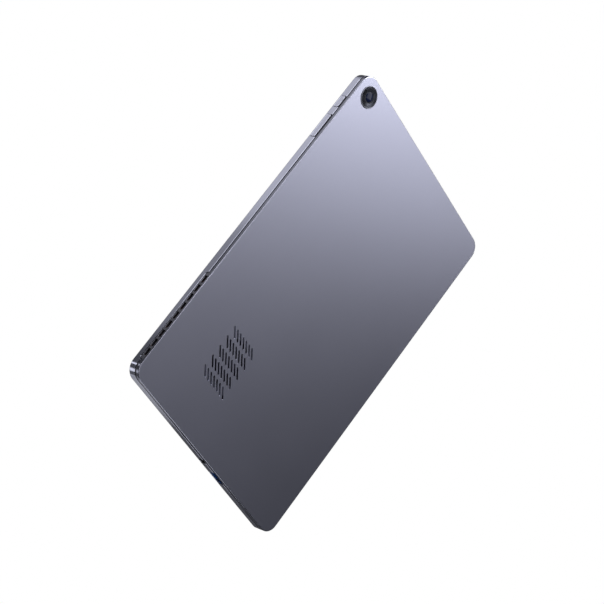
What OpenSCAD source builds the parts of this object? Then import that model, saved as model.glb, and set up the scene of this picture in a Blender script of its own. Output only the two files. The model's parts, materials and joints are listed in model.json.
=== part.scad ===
/* [Body] */
// Length of the tablet, along X
body_l = 258; // [215:0.5:320]
// Width of the tablet, along Y
body_w = 175.5; // [146:0.5:215]
// Thickness of the tablet, display glass to rear face
body_t = 9.3; // [9.3:0.1:12]
// Corner radius of the outline
corner_r = 9; // [8:0.5:12]
// Side wall of the frame
wall_t = 2.2; // [1.8:0.1:2.6]
// Thickness of the rear cover's plate
cover_t = 1; // [0.8:0.05:1.2]
// Side wall of the rear cover
cover_wall = 1.3; // [1:0.1:1.6]
// Height of the rear cover's side lip
cover_lip = 2.2; // [1.8:0.1:2.4]
// Chamfer around the rear face
back_chamfer = 0.5; // [0.3:0.05:0.8]
// Height of the seam between cover and frame
seam_h = 1.2; // [0.8:0.1:1.4]
// Depth of the seam
seam_depth = 0.2; // [0.1:0.05:1]
// Rounding of the frame at the display side
rim_round = 0.9; // [0.5:0.1:1.2]
// Thickness of the frame's mid plate
plate_t = 0.6; // [0.5:0.05:0.8]
// General clearance between fixed pieces
gap = 0.1; // [0.05:0.01:0.2]

/* [Display] */
// Thickness of the cover glass
glass_t = 0.7; // [0.55:0.05:1]
// Metal rim left around the glass
glass_rim = 1.1; // [0.9:0.1:1.5]
// Thickness of the adhesive under the glass
adhesive_t = 0.15; // [0.1:0.05:0.3]
// Width of the adhesive strip
adhesive_w = 1.6; // [1.2:0.1:2]
// Distance from the body's short side to the display panel
bezel_x = 14; // [13.9:0.1:16]
// Distance from the body's long side to the display panel
bezel_y = 8.4; // [8.4:0.1:11]
// Thickness of the display cell
panel_t = 0.9; // [0.7:0.05:1]
// Thickness of the backlight tray
tray_t = 0.7; // [0.5:0.05:0.8]
// Wall of the backlight tray
tray_wall = 0.25; // [0.2:0.05:0.4]

/* [Keys] */
// Length of the power key
power_l = 9.5; // [8:0.1:12]
// Distance from the short side to the middle of the power key
power_from_end = 28.75; // [26:0.25:32]
// Length of the volume key
volume_l = 19.6; // [16:0.1:24]
// Distance from the short side to the middle of the volume key
volume_from_end = 50.25; // [48:0.25:56]
// Height of both keys
key_h = 3.6; // [3:0.1:4]
// Height of the keys' middle above the glass face
key_z = 3.5; // [3.3:0.1:3.7]
// How far the keys stand proud
key_proud = 0.25; // [0.1:0.05:0.4]
// Gap around the keys
key_gap = 0.2; // [0.15:0.05:0.3]
// Travel of the power key
key_travel = 0.3; // [0.2:0.05:0.4]
// Thickness of the keys' caps
key_cap_t = 1.6; // [1.4:0.1:1.8]
// Length of one side switch
switch_l = 3.6; // [3:0.1:4.5]
// Depth of one side switch
switch_d = 1.5; // [1:0.1:1.8]
// Distance between the volume switches
switch_spread = 12; // [10:0.5:14]

/* [Cameras] */
// Radius of the rear camera's ring
camera_r = 7.6; // [6.5:0.1:9]
// Distance from the short side to the camera
camera_from_end = 11.9; // [11.4:0.1:14]
// Distance from the long side to the camera
camera_from_side = 12.55; // [11.4:0.05:15]
// Height of the camera ring above the cover
camera_proud = 0.4; // [0.2:0.05:0.8]
// Wall of the camera ring
camera_wall = 0.6; // [0.4:0.05:1]
// Radius of the camera lens barrel
lens_r = 3.1; // [2.5:0.1:3.6]
// Side of the rear camera module
module_s = 9; // [8:0.1:10]
// Side of the front camera module
front_s = 4.6; // [4:0.1:5]

/* [Cooling] */
// Distance from the short side to the fan's axis
fan_from_end = 53.65; // [52:0.05:60]
// Distance from the long side to the fan's axis
fan_from_side = 55.65; // [52:0.05:60]
// Radius of the fan's blades
fan_r = 19.5; // [16:0.1:23]
// Radius of the fan's hub
hub_r = 9; // [7.5:0.1:10.5]
// Number of fan blades
blade_n = 29; // [17:2:37]
// Thickness of a fan blade
blade_t = 0.5; // [0.4:0.05:0.7]
// Gap between the blades and the fan's housing
fan_gap = 1.2; // [0.8:0.1:1.5]
// Thickness of the fan's walls
fan_wall = 0.6; // [0.4:0.05:0.8]
// Thickness of the fan's lid
lid_t = 0.4; // [0.3:0.05:0.5]
// Radius of the opening in the fan's lid
inlet_r = 16; // [13:0.1:18]
// Radius of the fan's shaft
shaft_r = 0.8; // [0.6:0.05:1]
// Running clearance of the shaft in its bearing
shaft_clear = 0.04; // [0.02:0.01:0.08]
// Outer radius of the fan's bearing
bearing_r = 2; // [1.6:0.1:2.4]
// Number of intake slots along X
intake_cols = 5; // [3:1:5]
// Number of intake slots along Y
intake_rows = 7; // [3:1:7]
// Pitch of the intake slots along X
intake_px = 7.98; // [6:0.02:9]
// Pitch of the intake slots along Y
intake_py = 3.8; // [3:0.05:4.6]
// Length of an intake slot, end to end
intake_l = 8.4; // [6:0.1:9]
// Width of an intake slot
intake_w = 1.25; // [0.8:0.05:1.5]
// Slant of the intake slots from X
intake_a = 48; // [30:1:60]
// Number of exhaust slots
vent_n = 9; // [5:1:9]
// Pitch of the exhaust slots
vent_p = 7.42; // [6:0.02:8]
// Length of an exhaust slot
vent_l = 5.9; // [4:0.1:6.2]
// Height of an exhaust slot
vent_h = 2.4; // [1.8:0.1:2.6]
// Depth from the rear face to the middle of the exhaust slots
vent_drop = 3; // [2.9:0.05:3.3]
// Distance from the short side to the middle of the exhaust slots
vent_from_end = 46.4; // [46:0.1:56]
// Margin of the vent insert around the slots
vent_margin = 0.6; // [0.4:0.05:0.8]
// Thickness of the vent insert
insert_t = 1.4; // [1:0.1:1.6]
// Recess of the vent insert from the side
insert_recess = 0.3; // [0.1:0.05:0.5]
// Depth of the heatsink fins along the air path
fin_d = 12; // [9:0.1:14]
// Thickness of a heatsink fin
fin_t = 0.3; // [0.2:0.05:0.4]
// Pitch of the heatsink fins
fin_p = 1.6; // [1.2:0.05:2.2]
// Width of the heat pipe
pipe_w = 6.5; // [5:0.1:7]
// Thickness of the heat pipe
pipe_t = 1.4; // [1:0.1:1.6]
// Thickness of the thermal pad
pad_t = 0.2; // [0.1:0.05:0.3]

/* [Ports] */
// Width of the large socket's opening
data_w = 12.5; // [12:0.1:13]
// Height of the large socket's opening
data_h = 5.12; // [4.8:0.01:5.2]
// Depth of the large socket
data_d = 10; // [9:0.1:10]
// Distance of the large socket from the middle of the short side
data_y = 24.1; // [20:0.1:28]
// Sheet thickness of the sockets' shells
shell_t = 0.25; // [0.2:0.05:0.3]
// Radius of the headphone socket
jack_r = 1.75; // [1.7:0.05:1.8]
// Depth of the headphone socket
jack_d = 13; // [12:0.1:14]
// Distance of the headphone socket from the middle of the short side
jack_y = 5.4; // [2:0.1:10]
// Width of the charging socket's opening
charge_w = 8.34; // [8:0.02:8.6]
// Height of the charging socket's opening
charge_h = 2.56; // [2.4:0.02:2.7]
// Depth of the charging socket
charge_d = 7; // [6:0.1:8]
// Distance of the charging socket from the long side
charge_from_side = 51; // [46:0.5:56]

/* [Board] */
// Thickness of the circuit boards
board_t = 0.8; // [0.6:0.05:1]
// Gap between the mid plate and the boards
board_lift = 0.75; // [0.6:0.05:0.9]
// Width of the main board, along Y
board_w = 52; // [50:0.5:56]
// Distance from the long side to the main board
board_from_side = 25.75; // [25:0.25:28]
// Length of the processor package
cpu_l = 35; // [30:0.5:38]
// Width of the processor package
cpu_w = 24; // [20:0.5:26]
// Thickness of the processor package
cpu_t = 1; // [0.8:0.05:1.1]
// Length of the storage card
card_l = 42; // [30:0.5:42]
// Width of the storage card
card_w = 22; // [20:0.5:22]
// Width of the socket board, along X
io_l = 20; // [18:0.5:22]
// Length of the socket board, along Y
io_w = 44; // [40:0.5:48]
// Radius of the board screws' heads
screw_head_r = 1.6; // [1.2:0.1:2]
// Radius of the board screws' shanks
screw_r = 0.7; // [0.5:0.05:0.9]

/* [Battery and sound] */
// Space between the battery cells and what surrounds them
cell_gap = 2; // [1.5:0.1:3]
// Thickness of the battery cells
cell_t = 3.6; // [3:0.1:3.9]
// Corner radius of the battery cells
cell_r = 2; // [1:0.1:3]
// Width of the battery's protection board
pack_board_w = 6; // [5:0.1:7]
// Length of a speaker box
speaker_l = 36; // [30:0.5:40]
// Width of a speaker box
speaker_w = 19; // [16:0.5:20]
// Number of sound slots for each speaker
sound_n = 7; // [5:1:9]
// Pitch of the sound slots
sound_p = 3.72; // [3:0.02:4.2]
// Length of a sound slot
sound_l = 2.4; // [1.6:0.1:2.6]
// Height of a sound slot
sound_h = 0.7; // [0.5:0.05:0.8]
// Distance from the left end to the middle of the first speaker
speaker_a_from_end = 85.25; // [84:0.25:90]
// Distance from the right end to the middle of the second speaker
speaker_b_from_end = 24; // [23:0.5:28]

/* [Hidden] */
$fn = 64;
// Half length and half width of the body
hx = body_l / 2;
hy = body_w / 2;
// Heights of the main levels above the glass face
cover_z = body_t - cover_lip;
seam_z = cover_z - seam_h;
ledge_z = glass_t + adhesive_t;
panel_z = ledge_z + panel_t;
plate_z = panel_z + tray_t + gap;
floor_z = plate_z + plate_t;
ceil_z = body_t - cover_t;
roof_z = ceil_z - 0.3;
board_z = floor_z + board_lift;
board_top = board_z + board_t;
// Lift of the frame's rim, so that the glass touches first
rim_z = 0.1;
// Space between the side wall and the display cavity
cavity_in = wall_t + 0.8;
// Overshoot of a cut past the face it opens
eps = 1;
// Cameras
cam_x = -hx + camera_from_end;
cam_y = -hy + camera_from_side;
cam_hole_r = camera_r - camera_wall;
window_r = camera_r - camera_wall - gap / 2;
window_t = 0.35;
window_z = body_t + camera_proud - gap - window_t;
ring_bore_r = window_r - 1;
module_top = roof_z - 0.6;
front_y = -hy + cavity_in + gap + front_s / 2;
// Keys
power_x = -hx + power_from_end;
volume_x = -hx + volume_from_end;
key_z0 = key_z - key_h / 2;
key_y = -hy - key_proud;
flange_gap = 0.3;
flange_y = -hy + wall_t + flange_gap;
flange_t = 0.5;
flange_w = 0.8;
nub_t = 0.5;
switch_y = flange_y + flange_t + nub_t + key_travel + 0.05;
flex_t = 0.15;
bracket_t = 0.6;
bracket_x0 = power_x - power_l / 2 - 3;
bracket_x1 = volume_x + volume_l / 2 + 2;
// Exhaust
vent_x = hx - vent_from_end;
vent_z = body_t - vent_drop;
vent_span = (vent_n - 1) * vent_p + vent_l;
insert_end = 2.6;
insert_l = vent_span + 2 * insert_end;
insert_h = vent_h + 2 * vent_margin;
// Fan and heatsink
fan_x = hx - fan_from_end;
fan_y = -hy + fan_from_side;
fan_z = floor_z + gap;
fan_floor = fan_z + fan_wall;
lid_z = roof_z - lid_t;
volute_r = fan_r + fan_gap;
fin_y0 = -hy + wall_t + 3 * gap;
fin_y1 = fin_y0 + fin_d;
fin_z = floor_z + 2 * gap;
fin_n = floor(vent_span / fin_p);
fin_x0 = vent_x - fin_n * fin_p / 2;
out_x0 = fin_x0 - fan_wall;
out_x1 = fin_x0 + fin_n * fin_p + fan_wall + fin_t;
blade_z0 = fan_floor + 0.4;
blade_z1 = lid_z - 0.4;
cup_t = 0.7;
magnet_t = 0.6;
pipe_z = roof_z - pipe_t;
pipe_y = fin_y1 - 1.2 - pipe_w / 2;
// Main board and what it carries
board_x0 = -hx + wall_t + 3 * gap;
board_x1 = out_x0 - 3;
board_y0 = -hy + board_from_side;
board_y1 = board_y0 + board_w;
cpu_x = board_x1 - 6 - cpu_l / 2;
cpu_y = board_y0 + 4.5 + cpu_w / 2;
cpu_top = board_top + cpu_t;
ear = 2.4;
cold_x = cpu_l / 2 + ear;
cold_y = cpu_w / 2 + ear;
memory_l = 10;
memory_w = 9.5;
memory_p = 11.5;
memory_x = cpu_x - cold_x - ear - 2 - memory_l / 2;
card_x = memory_x - memory_l / 2 - 3 - card_l / 2;
card_y = board_y1 - 2.5 - card_w / 2;
card_z = board_top + 0.5;
radio_l = 12;
radio_w = 14;
radio_x = card_x - card_l / 2 - 4 - radio_l / 2;
radio_y = board_y1 - 3 - radio_w / 2;
// Sockets
data_z = cover_z - data_h / 2 - shell_t;
jack_z = data_z - 0.2;
jack_body_r = jack_r + 0.85;
charge_y = -hy + charge_from_side;
charge_z = board_z + board_t / 2;
socket_in = 0.4;
io_x0 = hx - wall_t - 3 * gap - io_l;
io_y = (data_y + jack_y) / 2 + 3;
// Speakers
speaker_a_x = -hx + speaker_a_from_end;
speaker_b_x = hx - speaker_b_from_end;
speaker_wall = 0.7;
sound_z = (seam_z + cover_z) / 2;
ext_x0 = speaker_a_x + speaker_l / 2 + 3;
ext_y0 = -hy + wall_t + 1.5;
// Battery
cell_x0 = -hx + wall_t + cell_gap;
cell_x1 = min(io_x0, speaker_b_x - speaker_l / 2) - cell_gap;
cell_y0 = board_y1 + pack_board_w + 3;
cell_y1 = hy - wall_t - cell_gap;
pack_x = (cell_x0 + cell_x1) / 2;
pack_board_l = 60;
pack_board_y = board_y1 + 1.5;

// Screws of the main board: three by its right end and two by its left end
board_screws_xy = [
    [board_x1 - 3, board_y0 - 19], [board_x1 - 3, board_y1 - 16], [board_x1 - 60, board_y0 + 3],
    [board_x0 + 5, board_y0 + 3], [board_x0 + 5, board_y1 - 3]
];
io_screws_xy = [[io_x0 + 2.6, io_y - io_w / 2 + 2.6], [io_x0 + 2.6, io_y + io_w / 2 - 2.6]];
bracket_screws_xy = [[power_x + power_l / 2 + 3.2, switch_y + 5.6], [bracket_x1 - 2, switch_y + 5.6]];
cold_screws_xy = [for (sx = [-1, 1], sy = [-1, 1]) [cpu_x + sx * cold_x, cpu_y + sy * cold_y]];

// Rectangle with round corners, centred on the origin
module round_rect(l, w, r) {
    square([l - 2 * r, w], center = true);
    square([l, w - 2 * r], center = true);
    for (sx = [-1, 1], sy = [-1, 1])
        translate([sx * (l / 2 - r), sy * (w / 2 - r)])
            circle(r);
}

// Outline of the body, moved in by inset
module outline(inset) {
    round_rect(body_l - 2 * inset, body_w - 2 * inset, max(0.8, corner_r - inset));
}

// Flat slab with the body's outline
module slab(inset, z0, z1) {
    translate([0, 0, z0])
        linear_extrude(z1 - z0)
            outline(inset);
}

// Box from its two corners
module block(p, q) {
    translate(p)
        cube([q[0] - p[0], q[1] - p[1], q[2] - p[2]]);
}

// Flat plate with round corners, by its centre in plan
module plate(x, y, z0, z1, l, w, r) {
    translate([x, y, z0])
        linear_extrude(z1 - z0)
            round_rect(l, w, r);
}

// Slot with round ends along X, in the plane
module slot2d(l, w) {
    square([l - w, w], center = true);
    for (s = [-1, 1])
        translate([s * (l - w) / 2, 0])
            circle(w / 2, $fn = 24);
}

// Slot with round ends through a wall that faces Y
module wall_slot(x, y0, y1, z, l, h) {
    translate([x, y1, z])
        rotate([90, 0, 0])
            linear_extrude(y1 - y0)
                slot2d(l, h);
}

// Unit normal of a path's segment, to its left
function left_of(p, q) = [p[1] - q[1], q[0] - p[0]] / norm(q - p);

// Corner offset of a path at point i, so that both its strips keep their width
function corner_offset(path, i) =
    let (a = left_of(path[max(i - 1, 0)], path[max(i, 1)]))
    let (b = left_of(path[min(i, len(path) - 2)], path[min(i + 1, len(path) - 1)]))
    (a + b) / (1 + a * b);

// Strip of width w along a path, with mitred corners, in the plane
module strip2d(path, w) {
    n = len(path) - 1;
    polygon(concat(
        [for (i = [0:n]) path[i] + corner_offset(path, i) * w / 2],
        [for (i = [n:-1:0]) path[i] - corner_offset(path, i) * w / 2]
    ));
}

// Shapes that the sockets and the insert take out of the cover, the frame and the seam band
module data_space(clear) {
    l = data_w + 2 * shell_t + 2 * clear;
    h = data_h + 2 * shell_t + 2 * clear;
    block([hx - data_d - socket_in - clear, data_y - l / 2, data_z - h / 2],
        [hx + eps, data_y + l / 2, data_z + h / 2]);
}

module jack_space(clear) {
    r = jack_body_r + clear;
    translate([hx - wall_t - eps, jack_y, jack_z])
        rotate([0, 90, 0])
            cylinder(h = wall_t + 2 * eps, r = r);
    block([hx - jack_d - socket_in - clear, jack_y - r, jack_z - r],
        [hx - wall_t + gap, jack_y + r, jack_z + r]);
}

module charge_space(clear) {
    l = charge_w + 2 * shell_t + 2 * clear;
    h = charge_h + 2 * shell_t + 2 * clear;
    translate([-hx - eps, charge_y, charge_z])
        rotate([90, 0, 90])
            linear_extrude(charge_d + socket_in + clear + eps)
                round_rect(l, h, h / 2 - 0.01);
}

module insert_space(clear) {
    h = insert_h + 2 * clear;
    wall_slot(vent_x, -hy - eps, -hy + wall_t + eps, vent_z, insert_l + 2 * clear, h);
}

// ---- Casing ----

// Slanted intake slots in the rear cover
module intake_slots() {
    for (i = [0:intake_cols - 1], j = [0:intake_rows - 1])
        translate([fan_x + (i - (intake_cols - 1) / 2) * intake_px,
            fan_y + (j - (intake_rows - 1) / 2) * intake_py])
            rotate(intake_a)
                slot2d(intake_l, intake_w);
}

module rear_cover() {
    color("#8d8f9e")
        difference() {
            hull() {
                slab(0, cover_z, body_t - back_chamfer);
                slab(back_chamfer, body_t - 0.05, body_t);
            }
            slab(cover_wall, cover_z - eps, ceil_z);
            translate([0, 0, ceil_z - eps])
                linear_extrude(cover_t + 2 * eps)
                    intake_slots();
            translate([cam_x, cam_y, ceil_z - eps])
                cylinder(h = cover_t + 2 * eps, r = cam_hole_r + gap / 2);
            insert_space(gap);
            data_space(gap);
        }
}

// Recess for a side key: the opening in the wall and the room for its flange
module key_space(x, l) {
    block([x - l / 2 - key_gap, -hy - eps, key_z0 - key_gap],
        [x + l / 2 + key_gap, -hy + wall_t + eps, seam_z + eps]);
}

module mid_frame() {
    color("#7f8190")
        difference() {
            union() {
                difference() {
                    hull() {
                        slab(rim_round, rim_z, rim_z + 0.05);
                        slab(rim_round * 0.4, rim_z + rim_round * 0.3, rim_z + rim_round * 0.35);
                        slab(0, rim_z + rim_round, seam_z);
                    }
                    slab(glass_rim, -eps, ledge_z);
                    slab(cavity_in, -eps, plate_z);
                    slab(wall_t, floor_z, seam_z + eps);
                }
                for (p = concat(board_screws_xy, io_screws_xy))
                    translate([p[0], p[1], floor_z - plate_t / 2])
                        cylinder(h = board_lift + plate_t / 2, r = screw_head_r);
            }
            for (p = concat(board_screws_xy, io_screws_xy, bracket_screws_xy))
                translate([p[0], p[1], plate_z - eps])
                    cylinder(h = board_lift + plate_t + 2 * eps, r = screw_r + gap / 2);
            key_space(power_x, power_l);
            key_space(volume_x, volume_l);
            insert_space(gap);
            data_space(gap);
            jack_space(gap);
            charge_space(gap);
            block([-front_s / 2, front_y + front_s / 2, plate_z - eps],
                [front_s / 2, front_y + front_s / 2 + 1.2, floor_z + eps]);
            block([board_x1 - 30, ext_y0 + 8, plate_z - eps],
                [board_x1 - 12, ext_y0 + 9.2, floor_z + eps]);
        }
}

module seam_band() {
    color("#2b2b36")
        difference() {
            slab(seam_depth, seam_z, cover_z);
            slab(wall_t, seam_z - eps, cover_z + eps);
            insert_space(gap);
            data_space(gap);
            jack_space(gap);
            for (i = [0:sound_n - 1]) {
                wall_slot(speaker_a_x + (i - (sound_n - 1) / 2) * sound_p, -hy - eps,
                    -hy + wall_t + eps, sound_z, sound_l, sound_h);
                wall_slot(speaker_b_x + (i - (sound_n - 1) / 2) * sound_p, hy - wall_t - eps,
                    hy + eps, sound_z, sound_l, sound_h);
            }
        }
}

module vent_insert() {
    color("#34353e")
        difference() {
            wall_slot(vent_x, -hy + insert_recess, -hy + insert_recess + insert_t, vent_z, insert_l,
                insert_h);
            for (i = [0:vent_n - 1])
                wall_slot(vent_x + (i - (vent_n - 1) / 2) * vent_p, -hy - eps, -hy + wall_t + eps,
                    vent_z, vent_l, vent_h);
        }
}

// ---- Display ----

module cover_glass() {
    color("#101014")
        slab(glass_rim + gap, 0, glass_t);
}

module glass_adhesive() {
    color("#202020")
        difference() {
            slab(glass_rim + 2 * gap, glass_t, ledge_z);
            slab(glass_rim + 2 * gap + adhesive_w, glass_t - eps, ledge_z + eps);
        }
}

module display_panel() {
    color("#0c0e14")
        plate(0, 0, glass_t, panel_z, body_l - 2 * bezel_x, body_w - 2 * bezel_y, 1);
}

module backlight_tray() {
    color("#b9bcc2")
        difference() {
            plate(0, 0, panel_z, panel_z + tray_t, body_l - 2 * bezel_x, body_w - 2 * bezel_y, 1);
            plate(0, 0, panel_z - eps, panel_z + tray_t - tray_wall,
                body_l - 2 * bezel_x - 2 * tray_wall, body_w - 2 * bezel_y - 2 * tray_wall, 0.8);
        }
}

module light_guide() {
    color("#f2f2ee")
        plate(0, 0, panel_z, panel_z + tray_t - tray_wall,
            body_l - 2 * bezel_x - 2 * tray_wall - 2 * gap,
                body_w - 2 * bezel_y - 2 * tray_wall - 2 * gap, 0.6);
}

module display_flex() {
    color("#8a5a2a")
        block([board_x1 - 29, ext_y0 + 8.4, panel_z + tray_t],
            [board_x1 - 13, ext_y0 + 8.4 + flex_t, board_z]);
}

// ---- Side keys ----

// One side key: cap, neck and flange, as one moulding
module side_key(x, l, nubs) {
    difference() {
        block([x - l / 2, key_y, key_z0], [x + l / 2, key_y + key_cap_t, key_z0 + key_h]);
        block([x - l / 2 - eps, key_y + 0.7, key_z0 + key_h - 0.3],
            [x + l / 2 + eps, key_y + key_cap_t + eps, key_z0 + key_h + eps]);
    }
    block([x - l / 2 + 0.3, key_y + key_cap_t, key_z0 + 0.4],
        [x + l / 2 - 0.3, flange_y, key_z0 + key_h - 0.5]);
    block([x - l / 2 - flange_w, flange_y, floor_z + 0.15],
        [x + l / 2 + flange_w, flange_y + flange_t, key_z0 + key_h - 0.3]);
    for (n = nubs)
        block([n - 0.8, flange_y + flange_t, floor_z + 0.3],
            [n + 0.8, flange_y + flange_t + nub_t, key_z0 + key_h - 0.6]);
}

module power_key() {
    color("#9c9eae")
        side_key(power_x, power_l, [power_x]);
}

module volume_key() {
    color("#9c9eae")
        side_key(volume_x, volume_l, [volume_x - switch_spread / 2, volume_x + switch_spread / 2]);
}

module key_switches() {
    color("#d8d8d0")
        for (x = [power_x, volume_x - switch_spread / 2, volume_x + switch_spread / 2]) {
            block([x - switch_l / 2, switch_y + 0.3, floor_z + gap],
                [x + switch_l / 2, switch_y + switch_d, floor_z + 2.3]);
            block([x - 0.6, switch_y, floor_z + 0.5], [x + 0.6, switch_y + 0.3, floor_z + 1.7]);
        }
}

module key_flex() {
    color("#8a5a2a") {
        block([bracket_x0, switch_y + switch_d, floor_z + gap],
            [bracket_x1, switch_y + switch_d + flex_t, floor_z + 2.4]);
        block([bracket_x1 - 3, switch_y + switch_d, floor_z + 2.4],
            [bracket_x1, board_y0 + 4, floor_z + 2.4 + flex_t]);
    }
}

module key_bracket() {
    y0 = switch_y + switch_d + flex_t;
    color("#c4c6ca")
        difference() {
            union() {
                block([bracket_x0, y0, floor_z], [bracket_x1 - 4, y0 + bracket_t, floor_z + 2.6]);
                for (p = bracket_screws_xy)
                    block([p[0] - 2, y0, floor_z], [p[0] + 2, p[1] + 2, floor_z + bracket_t]);
            }
            for (p = bracket_screws_xy)
                translate([p[0], p[1], floor_z - eps])
                    cylinder(h = bracket_t + 2 * eps, r = screw_r + gap / 2);
        }
}

// ---- Cameras ----

module camera_ring() {
    color("#a6a8b8")
        translate([cam_x, cam_y, 0])
            rotate_extrude()
                polygon([
                    [ring_bore_r, ceil_z], [cam_hole_r, ceil_z], [cam_hole_r, body_t],
                    [camera_r, body_t], [camera_r, body_t + camera_proud - 0.25],
                    [camera_r - 0.25, body_t + camera_proud],
                        [window_r + gap / 2, body_t + camera_proud],
                    [window_r + gap / 2, window_z], [ring_bore_r, window_z]
                ]);
}

module camera_window() {
    color("#0b0d14")
        translate([cam_x, cam_y, window_z])
            cylinder(h = window_t, r = window_r);
}

module rear_camera() {
    color("#1c1c20")
        difference() {
            plate(cam_x, cam_y, floor_z + 1, module_top, module_s, module_s, 0.8);
            translate([cam_x, cam_y, module_top - 1.2])
                cylinder(h = 1.2 + eps, r = lens_r + gap / 2);
        }
}

module rear_camera_lens() {
    color("#30364a")
        translate([cam_x, cam_y, 0])
            rotate_extrude()
                polygon([
                    [0, module_top - 1.2], [lens_r, module_top - 1.2], [lens_r, window_z - 0.35],
                    [lens_r - 0.6, window_z - 0.15], [lens_r - 1.4, window_z - 0.5], [0, window_z - 0.3]
                ]);
}

module rear_camera_flex() {
    color("#8a5a2a")
        block([cam_x - 1, cam_y + module_s / 2, board_top],
            [cam_x + 4, board_y0 + 3, board_top + flex_t]);
}

module front_camera() {
    color("#17171a")
        difference() {
            plate(0, front_y, glass_t, plate_z - gap, front_s, front_s, 0.5);
            translate([0, front_y, glass_t - eps])
                cylinder(h = eps + 0.3, r = 1.1);
        }
}

module front_camera_flex() {
    y0 = front_y + front_s / 2;
    color("#8a5a2a")
        block([-1.5, y0, ledge_z + 0.2], [1.5, y0 + flex_t, board_z]);
}

// ---- Fan and heatsink ----

// Plan of the fan's volute and its outlet, grown by w
module volute2d(w) {
    translate([fan_x, fan_y])
        circle(volute_r + w);
    polygon([
        [out_x0 + fan_wall - w, fin_y1], [out_x1 - fan_wall + w, fin_y1],
        [fan_x + volute_r + w, fan_y], [fan_x - volute_r - w, fan_y]
    ]);
}

module fan_housing() {
    color("#2a2b30")
        difference() {
            translate([0, 0, fan_z])
                linear_extrude(lid_z - fan_z)
                    volute2d(fan_wall);
            translate([0, 0, fan_floor])
                linear_extrude(lid_z)
                    volute2d(0);
            block([out_x0 + fan_wall, fin_y1 - eps, fan_floor],
                [out_x1 - fan_wall, fin_y1 + 2, lid_z + eps]);
        }
}

module fan_lid() {
    color("#b4b6bc")
        difference() {
            translate([0, 0, lid_z])
                linear_extrude(lid_t)
                    volute2d(fan_wall);
            translate([fan_x, fan_y, lid_z - eps])
                cylinder(h = lid_t + 2 * eps, r = inlet_r);
        }
}

module fan_impeller() {
    ring_w = 1;
    color("#3b3c42")
        translate([fan_x, fan_y, 0]) {
            translate([0, 0, blade_z0])
                linear_extrude(blade_z1 - blade_z0 - cup_t) {
                    difference() {
                        circle(hub_r);
                        circle(hub_r - cup_t);
                    }
                    for (i = [0:blade_n - 1])
                        rotate(i * 360 / blade_n)
                            translate([hub_r - cup_t / 2, -blade_t / 2])
                                square([fan_r - hub_r - ring_w / 2, blade_t]);
                }
            translate([0, 0, blade_z1 - cup_t])
                linear_extrude(cup_t)
                    difference() {
                        circle(hub_r);
                        circle(shaft_r);
                    }
            translate([0, 0, blade_z0])
                linear_extrude(ring_w / 2)
                    difference() {
                        circle(fan_r);
                        circle(fan_r - ring_w);
                    }
        }
}

module fan_magnet() {
    color("#4d4f55")
        translate([fan_x, fan_y, blade_z0 + 0.2])
            difference() {
                cylinder(h = blade_z1 - blade_z0 - cup_t - 0.2, r = hub_r - cup_t);
                translate([0, 0, -eps])
                    cylinder(h = blade_z1, r = hub_r - cup_t - magnet_t);
            }
}

module fan_shaft() {
    color("#d0d2d6")
        translate([fan_x, fan_y, fan_floor + 0.15])
            cylinder(h = blade_z1 - fan_floor - 0.15, r = shaft_r);
}

module fan_bearing() {
    color("#b98f4a")
        translate([fan_x, fan_y, fan_floor])
            difference() {
                cylinder(h = blade_z1 - cup_t - 0.3 - fan_floor, r = bearing_r);
                translate([0, 0, -eps])
                    cylinder(h = blade_z1, r = shaft_r + shaft_clear);
            }
}

module fan_stator() {
    core_r = hub_r - cup_t - magnet_t - 0.4;
    color("#b5652d")
        translate([fan_x, fan_y, fan_floor])
            difference() {
                union() {
                    cylinder(h = 1.4, r = bearing_r + 1);
                    for (i = [0:5])
                        rotate(i * 60) {
                            translate([0, -0.7, 0.3])
                                cube([core_r - 0.8, 1.4, 0.9]);
                            translate([core_r - 1.6, -2, 0.1])
                                cube([1.2, 4, 1.3]);
                        }
                }
                translate([0, 0, -eps])
                    cylinder(h = 3 + eps, r = bearing_r);
            }
}

module fan_lead() {
    color("#8a5a2a")
        block([board_x1 - 4, fan_y + 10, board_top],
            [fan_x - volute_r - fan_wall + 2, fan_y + 13, board_top + flex_t]);
}

module heatsink_fins() {
    color("#b9763f") {
        for (i = [0:fin_n])
            translate([fin_x0 + i * fin_p, 0, 0])
                rotate([90, 0, 90])
                    linear_extrude(fin_t)
                        polygon([
                            [fin_y0, fin_z], [fin_y1, fin_z], [fin_y1, pipe_z],
                                [pipe_y - pipe_w / 2 - gap, pipe_z],
                            [pipe_y - pipe_w / 2 - gap, roof_z], [fin_y0, roof_z]
                        ]);
        block([fin_x0, fin_y0, fin_z], [fin_x0 + fin_n * fin_p + fin_t, fin_y1, fin_z + 0.3]);
    }
}

module heat_pipe() {
    bend_x = board_x1 - 3;
    path = [
        [cpu_x - cpu_l / 2 + 2, cpu_y], [cpu_x + 4, cpu_y], [cpu_x + 12, cpu_y - 4],
        [bend_x - 6, pipe_y + 6], [bend_x, pipe_y + 1.5], [bend_x + 7, pipe_y],
        [fin_x0 + fin_n * fin_p - pipe_w / 2, pipe_y]
    ];
    color("#c07a45")
        translate([0, 0, pipe_z])
            linear_extrude(pipe_t)
                strip2d(path, pipe_w);
}

module cold_plate() {
    color("#c07a45")
        difference() {
            union() {
                plate(cpu_x, cpu_y, cpu_top + pad_t, pipe_z, cpu_l + 1, cpu_w + 1, 1);
                translate([0, 0, cpu_top + pad_t])
                    linear_extrude(0.5) {
                        strip2d([cold_screws_xy[0], cold_screws_xy[3]], 2 * ear - 0.8);
                        strip2d([cold_screws_xy[1], cold_screws_xy[2]], 2 * ear - 0.8);
                    }
            }
            for (p = cold_screws_xy)
                translate([p[0], p[1], cpu_top])
                    cylinder(h = 3, r = screw_r + gap / 2);
        }
}

module thermal_pad() {
    color("#8f9aa6")
        plate(cpu_x, cpu_y, cpu_top, cpu_top + pad_t, cpu_l - 8, cpu_w - 6, 0.5);
}

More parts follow.
